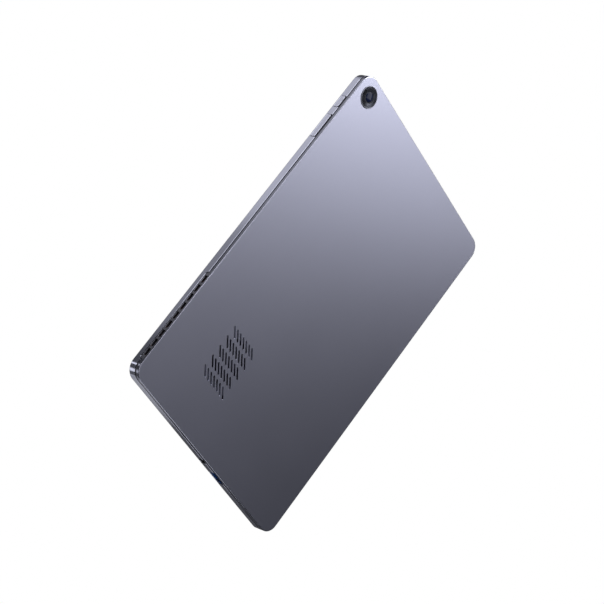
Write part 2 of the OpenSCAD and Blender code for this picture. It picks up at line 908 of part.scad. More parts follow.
// A pan-head screw whose head rests at height z
module screw(p, z, shank) {
    translate([p[0], p[1], z - shank])
        cylinder(h = shank, r = screw_r);
    translate([p[0], p[1], z])
        difference() {
            cylinder(h = 0.55, r = screw_head_r);
            for (a = [0, 90])
                rotate(a)
                    translate([-0.9, -0.15, 0.3])
                        cube([1.8, 0.3, 1]);
        }
}

module cold_plate_screws() {
    color("#c9ccd2")
        for (p = cold_screws_xy)
            screw(p, cpu_top + pad_t + 0.5, cpu_top + pad_t + 0.5 - board_z - 0.1);
}

module frame_screws() {
    color("#c9ccd2") {
        for (p = concat(board_screws_xy, io_screws_xy))
            screw(p, board_top, board_top - plate_z - 0.1);
        for (p = bracket_screws_xy)
            screw(p, floor_z + bracket_t, bracket_t + plate_t - 0.1);
    }
}

// ---- Boards ----

module main_board() {
    color("#1f4a38")
        difference() {
            union() {
                block([board_x0, board_y0, board_z], [board_x1, board_y1, board_top]);
                block([ext_x0, ext_y0, board_z], [board_x1, board_y0 + eps, board_top]);
            }
            charge_space(gap);
            for (p = concat(board_screws_xy, cold_screws_xy))
                translate([p[0], p[1], board_z - eps])
                    cylinder(h = board_t + 2 * eps, r = screw_r + gap / 2);
        }
}

module processor() {
    color("#3a3d42") {
        plate(cpu_x, cpu_y, board_top, board_top + 0.5, cpu_l, cpu_w, 0.5);
        plate(cpu_x, cpu_y, board_top + 0.5, cpu_top, cpu_l - 10, cpu_w - 8, 0.3);
    }
}

module memory_chips() {
    color("#222327")
        for (j = [0:3])
            plate(memory_x, board_y0 + 9 + j * memory_p, board_top, board_top + 1, memory_l,
                memory_w, 0.3);
}

module storage_card() {
    color("#1e3f5c") {
        block([card_x - card_l / 2, card_y - card_w / 2, card_z],
            [card_x + card_l / 2, card_y + card_w / 2, card_z + 0.8]);
        for (dx = [-0.22, 0.14])
            plate(card_x + dx * card_l, card_y, card_z + 0.8, card_z + 1.8, card_l * 0.3,
                card_w * 0.7, 0.3);
    }
}

module card_socket() {
    x1 = card_x + card_l / 2;
    color("#1a1a1c") {
        block([x1 - 3, card_y - card_w / 2, board_top], [x1 + 1.4, card_y + card_w / 2, card_z]);
        block([x1, card_y - card_w / 2, card_z], [x1 + 1.4, card_y + card_w / 2, card_z + 1.4]);
        block([x1 - 3, card_y - card_w / 2, card_z + 0.8], [x1, card_y + card_w / 2, card_z + 1.4]);
    }
}

module radio_module() {
    color("#c2c5ca") {
        block([radio_x - radio_l / 2, radio_y - radio_w / 2, board_top],
            [radio_x + radio_l / 2, radio_y + radio_w / 2, board_top + 1.4]);
    }
}

module power_inductors() {
    color("#4a4c50")
        for (i = [0:5])
            plate(board_x1 - 8 - i * 7, board_y0 - 6, board_top, board_top + 1.4, 5, 5, 0.4);
}

module shield_can() {
    x = board_x0 + 18;
    y = board_y0 + board_w / 2;
    color("#b9bcc0")
        difference() {
            plate(x, y, board_top, board_top + 1.8, 14, 26, 1);
            plate(x, y, board_top - eps, board_top + 1.6, 13.6, 25.6, 0.8);
        }
}

module board_plugs() {
    color("#d9d6c8") {
        block([board_x1 - 6, fan_y + 9.5, board_top + flex_t],
            [board_x1 - 1.5, fan_y + 13.5, board_top + 1.2]);
        block([memory_x + 6, board_y1 - 7, board_top + flex_t],
            [memory_x + 16, board_y1 - 3, board_top + 1.2]);
        block([board_x1 - 9, board_y1 - 8, board_top + flex_t],
            [board_x1 - 3, board_y1 - 3, board_top + 1.2]);
    }
}

module socket_board() {
    color("#1f4a38")
        difference() {
            block([io_x0, io_y - io_w / 2, board_z], [io_x0 + io_l, io_y + io_w / 2, board_top]);
            data_space(gap);
            jack_space(gap);
            for (p = io_screws_xy)
                translate([p[0], p[1], board_z - eps])
                    cylinder(h = board_t + 2 * eps, r = screw_r + gap / 2);
        }
}

module socket_flex() {
    y0 = board_y1 + 0.8;
    x0 = board_x1 - 8;
    x1 = io_x0 + 5;
    color("#8a5a2a")
        translate([0, 0, board_top])
            linear_extrude(flex_t) {
                translate([x0, y0])
                    square([x1 + 4 - x0, 5]);
                translate([x0, board_y1 - 7])
                    square([4, 9]);
                translate([x1, y0])
                    square([4, io_y - io_w / 2 + 11 - y0]);
            }
}

// ---- Sockets ----

module data_shell() {
    x0 = hx - data_d - socket_in;
    color("#c9ccd2")
        difference() {
            block([x0, data_y - data_w / 2 - shell_t, data_z - data_h / 2 - shell_t],
                [hx - socket_in, data_y + data_w / 2 + shell_t, data_z + data_h / 2 + shell_t]);
            block([x0 + shell_t, data_y - data_w / 2, data_z - data_h / 2],
                [hx + eps, data_y + data_w / 2, data_z + data_h / 2]);
        }
}

module data_tongue() {
    x0 = hx - data_d - socket_in + shell_t;
    color("#1f6fd0") {
        block([x0, data_y - 5.3, data_z + 0.2], [hx - 1.2, data_y + 5.3, data_z + 2.04]);
        block([x0, data_y - data_w / 2 + gap, data_z - data_h / 2 + gap],
            [x0 + 1, data_y + data_w / 2 - gap, data_z + data_h / 2 - gap]);
    }
}

module audio_jack() {
    x1 = hx - wall_t;
    color("#1b1b1e")
        difference() {
            union() {
                translate([x1 - eps, jack_y, jack_z])
                    rotate([0, 90, 0])
                        cylinder(h = wall_t + eps - socket_in, r = jack_body_r);
                block([hx - jack_d - socket_in, jack_y - jack_body_r, jack_z - jack_body_r],
                    [x1, jack_y + jack_body_r, jack_z + jack_body_r]);
            }
            translate([hx - jack_d - socket_in + 0.8, jack_y, jack_z])
                rotate([0, 90, 0])
                    cylinder(h = jack_d + eps, r = jack_r);
        }
}

module charge_shell() {
    x0 = -hx + socket_in;
    h = charge_h + 2 * shell_t;
    color("#c9ccd2")
        translate([x0, charge_y, charge_z])
            rotate([90, 0, 90])
                difference() {
                    linear_extrude(charge_d)
                        round_rect(charge_w + 2 * shell_t, h, h / 2 - 0.01);
                    translate([0, 0, -eps])
                        linear_extrude(charge_d + eps - shell_t)
                            round_rect(charge_w, charge_h, charge_h / 2 - 0.01);
                }
}

module charge_tongue() {
    x0 = -hx + socket_in;
    color("#18181a")
        block([x0 + 0.8, charge_y - 3.3, charge_z - 0.35],
            [x0 + charge_d - shell_t, charge_y + 3.3, charge_z + 0.35]);
}

// ---- Battery and sound ----

module battery_cells() {
    l = (cell_x1 - cell_x0 - cell_gap) / 2;
    color("#26272b")
        for (s = [-1, 1])
            plate(pack_x + s * (l + cell_gap) / 2, (cell_y0 + cell_y1) / 2, floor_z, floor_z + cell_t,
                l, cell_y1 - cell_y0, cell_r);
}

module pack_board() {
    color("#1f4a38")
        block([pack_x - pack_board_l / 2, pack_board_y, board_z - 0.3],
            [pack_x + pack_board_l / 2, pack_board_y + pack_board_w, board_top - 0.3]);
}

module battery_lead() {
    x0 = memory_x + 8;
    color("#2b2b2b")
        block([x0, board_y1 - 6, board_top], [x0 + 6, pack_board_y + 4, board_top + flex_t]);
}

// Runs part for both speakers: a at the lower side, b at the upper side
module each_speaker() {
    translate([speaker_a_x, -hy + wall_t + 0.5 + speaker_w / 2, 0])
        children();
    translate([speaker_b_x, hy - wall_t - 0.5 - speaker_w / 2, 0])
        rotate(180)
            children();
}

module speaker_boxes() {
    color("#1d1e21")
        each_speaker()
            difference() {
                plate(0, 0, floor_z, roof_z, speaker_l, speaker_w, 1.5);
                plate(0, 0, floor_z + speaker_wall, roof_z - speaker_wall,
                    speaker_l - 2 * speaker_wall, speaker_w - 2 * speaker_wall, 1);
                block([-sound_n * sound_p / 2, -speaker_w / 2 - eps, sound_z - 0.6],
                    [sound_n * sound_p / 2, 0, sound_z + 0.6]);
            }
}

module speaker_cones() {
    color("#55565c")
        each_speaker()
            translate([0, 0, floor_z + speaker_wall])
                difference() {
                    linear_extrude(1.2)
                        slot2d(speaker_l - 8, speaker_w - 5);
                    translate([0, 0, 0.5])
                        linear_extrude(1)
                            slot2d(speaker_l - 12, speaker_w - 9);
                }
}

module speaker_meshes() {
    y = speaker_w / 2 + 0.05;
    color("#1a1a1a")
        each_speaker()
            block([-sound_n * sound_p / 2, -y - 0.3, sound_z - 0.9],
                [sound_n * sound_p / 2, -y, sound_z + 0.9]);
}

module antennas() {
    color("#b58a3c") {
        block([-hx + wall_t + gap, board_y1 + 22, floor_z + 0.6],
            [-hx + wall_t + gap + 0.4, board_y1 + 60, roof_z - 0.2]);
        block([-hx + 66, hy - wall_t - gap - 0.4, floor_z + 0.6],
            [-hx + 104, hy - wall_t - gap, roof_z - 0.2]);
    }
}

// Coaxial wires along straight runs, with round corners
module wire(path, r) {
    for (i = [0:len(path) - 2]) {
        d = path[i + 1] - path[i];
        translate(path[i])
            rotate([0, acos(d[2] / norm(d)), atan2(d[1], d[0])])
                cylinder(h = norm(d), r = r, $fn = 16);
    }
    for (p = path)
        translate(p)
            sphere(r, $fn = 16);
}

module antenna_leads() {
    r = 0.35;
    xw = -hx + wall_t + 1.1;
    z = floor_z + 0.8;
    ya = board_y1 + 0.75;
    top = board_top + 1.4 + r;
    color("#3a3a3e") {
        wire([[xw, board_y1 + 40, z], [xw, ya, z], [radio_x - 3, ya, z], [radio_x - 3, ya, top],
            [radio_x - 3, ya - 5, top]], r);
    }
}

rear_cover();
mid_frame();
seam_band();
vent_insert();
cover_glass();
glass_adhesive();
display_panel();
backlight_tray();
light_guide();
display_flex();
power_key();
volume_key();
key_switches();
key_flex();
key_bracket();
camera_ring();
camera_window();
rear_camera();
rear_camera_lens();
rear_camera_flex();
front_camera();
front_camera_flex();
fan_housing();
fan_lid();
fan_impeller();
fan_magnet();
fan_shaft();
fan_bearing();
fan_stator();
fan_lead();
heatsink_fins();
heat_pipe();
cold_plate();
thermal_pad();
cold_plate_screws();
main_board();
processor();
memory_chips();
storage_card();
card_socket();
radio_module();
power_inductors();
shield_can();
board_plugs();
frame_screws();
battery_cells();
pack_board();
battery_lead();
socket_board();
socket_flex();
data_shell();
data_tongue();
audio_jack();
charge_shell();
charge_tongue();
speaker_boxes();
speaker_cones();
speaker_meshes();
antennas();
antenna_leads();
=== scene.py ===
import json
from math import cos, pi, radians, sin, sqrt

import bmesh
import bpy
from mathutils import Matrix, Vector


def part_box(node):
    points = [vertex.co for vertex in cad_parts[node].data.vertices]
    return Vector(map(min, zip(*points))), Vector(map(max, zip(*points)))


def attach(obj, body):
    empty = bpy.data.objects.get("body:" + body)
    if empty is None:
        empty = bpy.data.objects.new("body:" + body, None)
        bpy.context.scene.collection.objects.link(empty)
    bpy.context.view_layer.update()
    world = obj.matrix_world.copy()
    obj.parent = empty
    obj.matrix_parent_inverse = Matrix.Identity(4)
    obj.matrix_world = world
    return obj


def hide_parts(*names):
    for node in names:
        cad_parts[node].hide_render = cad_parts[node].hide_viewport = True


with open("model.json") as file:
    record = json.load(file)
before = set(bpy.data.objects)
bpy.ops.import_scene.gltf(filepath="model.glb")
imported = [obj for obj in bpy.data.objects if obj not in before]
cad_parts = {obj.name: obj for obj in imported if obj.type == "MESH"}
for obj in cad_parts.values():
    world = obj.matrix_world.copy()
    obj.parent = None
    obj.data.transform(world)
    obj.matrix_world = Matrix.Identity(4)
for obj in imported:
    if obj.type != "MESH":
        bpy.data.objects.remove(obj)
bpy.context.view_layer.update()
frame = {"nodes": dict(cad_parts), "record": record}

MM = 0.001

# ---------------------------------------------------------------- sizes, in millimetres

def corners(node):
    low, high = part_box(node)
    return [v / MM for v in low], [v / MM for v in high]


def middle(box, axis):
    return (box[0][axis] + box[1][axis]) / 2


def radius(box):
    return (box[1][0] - box[0][0]) / 2


# Casing
cover_low, cover_high = corners("rear_cover")
HALF_L = cover_high[0]
HALF_W = cover_high[1]
THICK = cover_high[2]
COVER_Z = cover_low[2]
frame_low, frame_high = corners("mid_frame")
RIM_Z = frame_low[2]
SEAM_Z = frame_high[2]
glass_high = corners("cover_glass")[1]
GLASS_T = glass_high[2]
GLASS_IN = HALF_L - glass_high[0]
GLASS_EDGE = 0.35
CORNER_R = 9.0
CORNER_STEPS = 20
WALL = 2.2
COVER_T = 1.0
COVER_WALL = 1.3
COVER_EDGE = 0.1
CHAMFER = 0.5
RIM_ROUND = 0.9
FRAME_EDGE = 0.12
SEAM_DEPTH = 0.2
SEAM_EDGE = 0.05
LEDGE_Z = corners("glass_adhesive")[1][2]
CAVITY_IN = WALL + 0.8
PLATE_Z = corners("backlight_tray")[1][2] + 0.1
FLOOR_Z = corners("battery_cells")[0][2]
# Clearance around inserts, overshoot of cutters and broken edge of openings
CLEAR = 0.1
OVER = 0.5
EDGE = 0.15

# Openings in the casing
INTAKE_L, INTAKE_W, INTAKE_TURN = 8.4, 1.25, 48
INTAKE_COLUMNS, INTAKE_ROWS, INTAKE_PITCH_X, INTAKE_PITCH_Y = 5, 7, 7.98, 3.8
INTAKE_EDGE = 0.04
VENT_X, VENT_PITCH, VENT_COUNT = 82.6, 7.42, 9
VENT_L, VENT_H, VENT_EDGE = 5.9, 2.4, 0.22
INSERT = corners("vent_insert")
INSERT_EDGE = 0.12
SOUND_X, SOUND_X_FAR, SOUND_Z, SOUND_PITCH, SOUND_COUNT = -43.75, 105.0, 6.5, 3.72, 7
SOUND_L, SOUND_H, SOUND_EDGE = 2.4, 0.7, 0.1
DATA = corners("data_shell")
DATA_ROUND = 0.25
JACK = corners("audio_jack")
CHARGE = corners("charge_shell")

# Side keys: place along the side and length of each
KEYS = {"power_key": (-100.25, 9.5), "volume_key": (-78.75, 19.6)}
KEY_Z0, KEY_H, KEY_GAP, KEY_CAP_T = 1.7, 3.6, 0.2, 1.6
KEY_ROUND, KEY_OPENING_ROUND, KEY_OPENING_EDGE = 0.55, 0.6, 0.08
KEY_OPENING_ABOVE, KEY_OPENING_BEHIND = 2, 1
# Depth from the cap's front, and growth of its section there
KEY_FACE = ((0, -0.22), (0.06, -0.1), (0.2, 0))
KEY_NECK_IN, KEY_NECK_LOWER, KEY_NECK_DROP = 0.3, 0.9, 0.05
KEY_FLANGE_LIFT, KEY_FLANGE_TOP_IN = 0.15, 0.3
KEY_FLANGE_T, KEY_FLANGE_W, KEY_FLANGE_GAP, KEY_STEM_ROUND = 0.5, 0.8, 0.3, 0.2
NUB_W, NUB_T, NUB_SPREAD, NUB_LIFT, NUB_TOP_IN, NUB_TAPER = 1.6, 0.4, 12, 0.3, 0.6, -0.08

# Rear camera, with its lens, step and disc from the middle outwards, and front camera
CAM_RING = corners("camera_ring")
CAM_X, CAM_Y, CAM_R = middle(CAM_RING, 0), middle(CAM_RING, 1), radius(CAM_RING)
CAM_HOLE_R, CAM_BORE_R, CAM_STEM_R, CAM_EDGE = 7.05, 5.95, 7.0, 0.25
CAM_STEPS = 128
LENS_R, STEP_IN, STEP_OUT, DISC_R = 3.1, 3.3, 3.9, 4.1
STEP_DEPTH, DISC_EDGE = 0.10, 0.08
FRONT_CAMERA_Y = middle(corners("front_camera"), 1)
FRONT_WINDOW_R = 1.5
SCREEN_BORDER = 1.5

# Fan
FAN_BOX = corners("fan_impeller")
FAN_X, FAN_Y = middle(FAN_BOX, 0), middle(FAN_BOX, 1)
HUB_R, HUB_T, HUB_EDGE, FAN_BORE_R = 9.0, 0.7, 0.3, 0.8
FAN_RING_W, FAN_RING_T = 1, 0.5
BLADE_COUNT, BLADE_SWEEP, BLADE_CURVE, BLADE_HALF_T, BLADE_STEPS = 29, 0.35, 1.4, 0.22, 10


# ---------------------------------------------------------------- mesh helpers

def new_object(name, bm, smooth_deg=35):
    """Turns a bmesh in millimetres into an object with its place in its mesh."""
    bmesh.ops.remove_doubles(bm, verts=bm.verts, dist=1e-4)
    bmesh.ops.recalc_face_normals(bm, faces=bm.faces)
    bmesh.ops.scale(bm, vec=(MM, MM, MM), verts=bm.verts)
    mesh = bpy.data.meshes.new(name)
    bm.to_mesh(mesh)
    bm.free()
    obj = bpy.data.objects.new(name, mesh)
    bpy.context.scene.collection.objects.link(obj)
    smooth(obj, smooth_deg)
    return obj


def smooth(obj, angle=35):
    mesh = obj.data
    mesh.polygons.foreach_set("use_smooth", [True] * len(mesh.polygons))
    mesh.set_sharp_from_angle(angle=radians(angle))


def round_rect(cx, cy, length, width, r, steps=8):
    x, y = length / 2 - r, width / 2 - r
    points = []
    for k, (sx, sy) in enumerate(((1, 1), (-1, 1), (-1, -1), (1, -1))):
        for i in range(steps + 1):
            a = (k + i / steps) * pi / 2
            points.append((cx + sx * x + r * cos(a), cy + sy * y + r * sin(a)))
    return points


def outline(inset, z):
    """Points of the body's rounded outline, moved in by inset, at height z."""
    r = max(0.8, CORNER_R - inset)
    flat = round_rect(0, 0, 2 * (HALF_L - inset), 2 * (HALF_W - inset), r, CORNER_STEPS)
    return [(x, y, z) for x, y in flat]


def loft(bm, loops, close=False):
    """Bridges loops of equal length into one skin; the ends are capped, or joined when close is set."""
    rings = [[bm.verts.new(p) for p in loop] for loop in loops]
    pairs = list(zip(rings, rings[1:]))
    if close:
        pairs.append((rings[-1], rings[0]))
    for a, b in pairs:
        n = len(a)
        for i in range(n):
            bm.faces.new((a[i], a[(i + 1) % n], b[(i + 1) % n], b[i]))
    if not close:
        bm.faces.new(rings[0][::-1])
        bm.faces.new(rings[-1])


def arc(cx, cy, r, start, end, steps):
    """Points of an arc in a plane, angles in degrees."""
    return [(cx + r * cos(radians(start + (end - start) * i / steps)),
             cy + r * sin(radians(start + (end - start) * i / steps))) for i in range(steps + 1)]


def revolve(bm, profile, cx, cy, steps=96):
    """Turns a profile of (radius, z) about a vertical axis; radius 0 closes it on the axis."""
    turns = [(cos(2 * pi * i / steps), sin(2 * pi * i / steps)) for i in range(steps)]
    rings = [[bm.verts.new((cx + r * c, cy + r * s, z)) for c, s in (turns if r > 0 else turns[:1])]
             for r, z in profile]
    for a, b in zip(rings, rings[1:]):
        for i in range(steps):
            j = (i + 1) % steps
            if len(a) == 1 and len(b) > 1:
                bm.faces.new((a[0], b[j], b[i]))
            elif len(b) == 1 and len(a) > 1:
                bm.faces.new((a[i], a[j], b[0]))
            elif len(a) > 1:
                bm.faces.new((a[i], a[j], b[j], b[i]))


def prism(bm, section, place, levels):
    """Stacks a plane section along a local axis, at levels of (distance, grow).

    section(grow) gives the section's points, and place turns its plane.
    """
    loft(bm, [[place @ Vector((x, y, distance)) for x, y in section(grow)] for distance, grow in levels])


def slot(cx, cy, length, width, steps=8):
    """A slot with round ends, as a section that can grow."""
    return lambda g: round_rect(cx, cy, length + 2 * g, width + 2 * g, min(length, width) / 2 + g, steps)


def box_section(cx, cy, length, width, r=0.3, steps=4):
    return lambda g: round_rect(cx, cy, length + 2 * g, width + 2 * g, r + g, steps)


def disc(cx, cy, r, steps=48):
    return lambda g: [(cx + (r + g) * cos(2 * pi * i / steps), cy + (r + g) * sin(2 * pi * i / steps))
                      for i in range(steps)]


def tool(name, section, place, levels):
    """One cutter: a section stacked through the given levels."""
    bm = bmesh.new()
    prism(bm, section, place, levels)
    return new_object(name, bm)


# Sections in XZ, YZ and XY, stacked along +Y, +X and +Z
FACE_Y = Matrix(((1, 0, 0, 0), (0, 0, 1, 0), (0, 1, 0, 0), (0, 0, 0, 1)))
FACE_X = Matrix(((0, 0, 1, 0), (1, 0, 0, 0), (0, 1, 0, 0), (0, 0, 0, 1)))
FACE_Z = Matrix.Identity(4)


def cut(obj, cutters):
    """Takes the cutters out of obj and deletes them."""
    for cutter in cutters:
        mod = obj.modifiers.new("cut", "BOOLEAN")
        mod.operation = "DIFFERENCE"
        mod.solver = "EXACT"
        mod.object = cutter
    bake(obj)
    for cutter in cutters:
        drop(cutter)
    smooth(obj)


def bake(obj):
    """Replaces an object's mesh by its modifiers' result."""
    graph = bpy.context.evaluated_depsgraph_get()
    mesh = bpy.data.meshes.new_from_object(obj.evaluated_get(graph))
    obj.modifiers.clear()
    obj.data = mesh
    mesh.name = obj.name


def drop(obj):
    mesh = obj.data
    bpy.data.objects.remove(obj)
    bpy.data.meshes.remove(mesh)


def flatten_shading(obj):
    """Lets the large faces set the normals, so that small bevels look round and flats stay flat."""
    mod = obj.modifiers.new("weights", "WEIGHTED_NORMAL")
    mod.keep_sharp = True
    mod.weight = 80


# ---------------------------------------------------------------- node groups for what repeats

def feed(tree, value, socket):
    """Sets a socket to a number, or links another socket to it."""
    if isinstance(value, (int, float)):
        socket.default_value = value
    else:
        tree.links.new(value, socket)


def maths(tree, operation, *operands):
    """Adds a Math node; each operand is a socket or a number."""
    node = tree.nodes.new("ShaderNodeMath")
    node.operation = operation
    for operand, socket in zip(operands, node.inputs):
        feed(tree, operand, socket)
    return node.outputs[0]


def add_input(tree, name, kind, value=None):
    socket = tree.interface.new_socket(name=name, in_out="INPUT", socket_type=kind)
    if value is not None:
        socket.default_value = value


def new_tree(name, inputs):
    """A tree that copies an object, with its own inputs after the object's."""
    tree = bpy.data.node_groups.new(name, "GeometryNodeTree")
    add_input(tree, "Geometry", "NodeSocketGeometry")
    tree.interface.new_socket(name="Geometry", in_out="OUTPUT", socket_type="NodeSocketGeometry")
    add_input(tree, "Piece", "NodeSocketObject")
    for label, kind, value in inputs:
        add_input(tree, label, kind, value)
    add_input(tree, "Material", "NodeSocketMaterial")
    return tree, tree.nodes.new("NodeGroupInput")


def finish_tree(tree, given, points, turn):
    """Puts the piece on every point, turned about Z, and makes it a painted mesh."""
    n, link = tree.nodes, tree.links.new
    source = n.new("GeometryNodeObjectInfo")
    rotation = n.new("ShaderNodeCombineXYZ")
    place = n.new("GeometryNodeInstanceOnPoints")
    real = n.new("GeometryNodeRealizeInstances")
    paint = n.new("GeometryNodeSetMaterial")
    out = n.new("NodeGroupOutput")
    link(given.outputs["Piece"], source.inputs["Object"])
    link(turn, rotation.inputs["Z"])
    link(points, place.inputs["Points"])
    link(source.outputs["Geometry"], place.inputs["Instance"])
    link(rotation.outputs["Vector"], place.inputs["Rotation"])
    link(place.outputs["Instances"], real.inputs["Geometry"])
    link(real.outputs["Geometry"], paint.inputs["Geometry"])
    link(given.outputs["Material"], paint.inputs["Material"])
    link(paint.outputs["Geometry"], out.inputs["Geometry"])
    return tree


def grid_tree():
    """Copies one piece onto a grid of columns and rows, each copy turned about Z."""
    tree, given = new_tree("grid_of_pieces", [
        ("Columns", "NodeSocketInt", 5), ("Rows", "NodeSocketInt", 7),
        ("Pitch X", "NodeSocketFloat", 0.008), ("Pitch Y", "NodeSocketFloat", 0.004),
        ("Centre", "NodeSocketVector", None), ("Turn", "NodeSocketFloat", 0.0)])
    n, link = tree.nodes, tree.links.new
    grid = n.new("GeometryNodeMeshGrid")
    for axis, count in (("X", "Columns"), ("Y", "Rows")):
        gaps = maths(tree, "SUBTRACT", given.outputs[count], 1)
        link(maths(tree, "MULTIPLY", gaps, given.outputs["Pitch " + axis]), grid.inputs["Size " + axis])
        link(given.outputs[count], grid.inputs["Vertices " + axis])
    move = n.new("GeometryNodeTransform")
    link(grid.outputs["Mesh"], move.inputs["Geometry"])
    link(given.outputs["Centre"], move.inputs["Translation"])
    return finish_tree(tree, given, move.outputs["Geometry"], given.outputs["Turn"])


def ring_tree():
    """Copies one piece around a vertical axis."""
    tree, given = new_tree("ring_of_pieces", [
        ("Count", "NodeSocketInt", 29), ("Centre", "NodeSocketVector", None)])
    n, link = tree.nodes, tree.links.new
    points = n.new("GeometryNodePoints")
    link(given.outputs["Count"], points.inputs["Count"])
    link(given.outputs["Centre"], points.inputs["Position"])
    index = n.new("GeometryNodeInputIndex")
    share = maths(tree, "DIVIDE", index.outputs[0], given.outputs["Count"])
    return finish_tree(tree, given, points.outputs[0], maths(tree, "MULTIPLY", share, 2 * pi))


GRID = grid_tree()
RING = ring_tree()


def repeat(name, tree, values):
    """Runs a tree on a new object with the given inputs and keeps the result as a plain mesh."""
    mesh = bpy.data.meshes.new(name)
    mesh.from_pydata([(0, 0, 0)], [], [])
    obj = bpy.data.objects.new(name, mesh)
    bpy.context.scene.collection.objects.link(obj)
    mod = obj.modifiers.new("repeat", "NODES")
    mod.node_group = tree
    for item in tree.interface.items_tree:
        if item.item_type == "SOCKET" and item.in_out == "INPUT" and item.name in values:
            mod[item.identifier] = values[item.name]
    bake(obj)
    drop(values["Piece"])
    smooth(obj)
    return obj


def repeat_in_row(name, section, place, levels, count, pitch, x):
    """Copies a cutter, made from a section, into a row along X that is centred on x."""
    return repeat(name + "s", GRID, {
        "Piece": tool(name, section, place, levels), "Columns": count, "Rows": 1, "Pitch X": pitch * MM,
        "Pitch Y": 0.0, "Centre": (x * MM, 0, 0)})


# ---------------------------------------------------------------- shader groups

def new_group(name, inputs, outputs):
    group = bpy.data.node_groups.new(name, "ShaderNodeTree")
    for label, kind, value in inputs:
        add_input(group, label, kind, value)
    for label, kind in outputs:
        group.interface.new_socket(name=label, in_out="OUTPUT", socket_type=kind)
    return group, group.nodes.new("NodeGroupInput"), group.nodes.new("NodeGroupOutput")


def tint(tree, colour, factor):
    """Multiplies a colour by a grey value."""
    scale = tree.nodes.new("ShaderNodeVectorMath")
    scale.operation = "SCALE"
    tree.links.new(colour, scale.inputs[0])
    tree.links.new(factor, scale.inputs["Scale"])
    return scale.outputs[0]


def noise(tree, vector, scale, detail):
    node = tree.nodes.new("ShaderNodeTexNoise")
    node.inputs["Detail"].default_value = detail
    tree.links.new(vector, node.inputs["Vector"])
    feed(tree, scale, node.inputs["Scale"])
    return node.outputs["Fac"]


def surface_group():
    """Fine grain and slow variation of one finish: its colour, roughness and height."""
    group, given, out = new_group(
        "surface_grain",
        [("Vector", "NodeSocketVector", None), ("Colour", "NodeSocketColor", (0.5, 0.5, 0.5, 1)),
         ("Grain", "NodeSocketFloat", 4000.0), ("Roughness", "NodeSocketFloat", 0.4),
         ("Spread", "NodeSocketFloat", 0.05), ("Mottle", "NodeSocketFloat", 0.06)],
        [("Colour", "NodeSocketColor"), ("Roughness", "NodeSocketFloat"), ("Height", "NodeSocketFloat")])
    fine = noise(group, given.outputs["Vector"], given.outputs["Grain"], 3.0)
    slow = noise(group, given.outputs["Vector"], 28.0, 2.0)
    both = maths(group, "ADD", maths(group, "MULTIPLY", fine, 0.7), maths(group, "MULTIPLY", slow, 0.3))
    centred = maths(group, "SUBTRACT", both, 0.5)
    rough = maths(group, "MULTIPLY_ADD", centred, given.outputs["Spread"], given.outputs["Roughness"])
    shade = maths(group, "MULTIPLY_ADD", centred, given.outputs["Mottle"], 1.0)
    group.links.new(tint(group, given.outputs["Colour"], shade), out.inputs["Colour"])
    group.links.new(rough, out.inputs["Roughness"])
    group.links.new(fine, out.inputs["Height"])
    return group


def split_vector(group, given):
    split = group.nodes.new("ShaderNodeSeparateXYZ")
    group.links.new(given.outputs["Vector"], split.inputs[0])
    return split.outputs


def distance(group, x, y):
    """Length of the vector (x, y)."""
    return maths(group, "SQRT", maths(group, "ADD", maths(group, "POWER", x, 2.0),
                                      maths(group, "POWER", y, 2.0)))


def ripple(group, value, pitch):
    """A sine wave that repeats at every pitch."""
    return maths(group, "SINE", maths(group, "MULTIPLY", maths(group, "DIVIDE", value, pitch), 2 * pi))


def rings_group():
    """Fine turned grooves around a vertical axis."""
    group, given, out = new_group(
        "turned_rings",
        [("Vector", "NodeSocketVector", None), ("Pitch", "NodeSocketFloat", 0.0002)],
        [("Height", "NodeSocketFloat")])
    x, y = split_vector(group, given)[:2]
    group.links.new(ripple(group, distance(group, x, y), given.outputs["Pitch"]), out.inputs["Height"])
    return group


def traces_group():
    """Copper traces under the solder mask of a circuit board."""
    group, given, out = new_group(
        "board_traces",
        [("Vector", "NodeSocketVector", None), ("Colour", "NodeSocketColor", (0.02, 0.08, 0.05, 1))],
        [("Colour", "NodeSocketColor"), ("Height", "NodeSocketFloat")])
    cells = group.nodes.new("ShaderNodeTexVoronoi")
    cells.distance = "MANHATTAN"
    cells.feature = "F1"
    cells.inputs["Scale"].default_value = 260.0
    group.links.new(given.outputs["Vector"], cells.inputs["Vector"])
    wave = maths(group, "SINE", maths(group, "MULTIPLY", cells.outputs["Distance"], 34.0))
    trace = maths(group, "GREATER_THAN", wave, 0.35)
    shade = maths(group, "MULTIPLY_ADD", trace, 0.8, 0.9)
    group.links.new(tint(group, given.outputs["Colour"], shade), out.inputs["Colour"])
    group.links.new(trace, out.inputs["Height"])
    return group


def weave_group():
    """Plain weave of a fine acoustic mesh."""
    group, given, out = new_group(
        "mesh_weave",
        [("Vector", "NodeSocketVector", None), ("Pitch", "NodeSocketFloat", 0.00025)],
        [("Height", "NodeSocketFloat")])
    place = split_vector(group, given)
    waves = [ripple(group, place[axis], given.outputs["Pitch"]) for axis in ("X", "Z")]
    group.links.new(maths(group, "MULTIPLY", *waves), out.inputs["Height"])
    return group


SURFACE = surface_group()
RINGS = rings_group()
TRACES = traces_group()
WEAVE = weave_group()


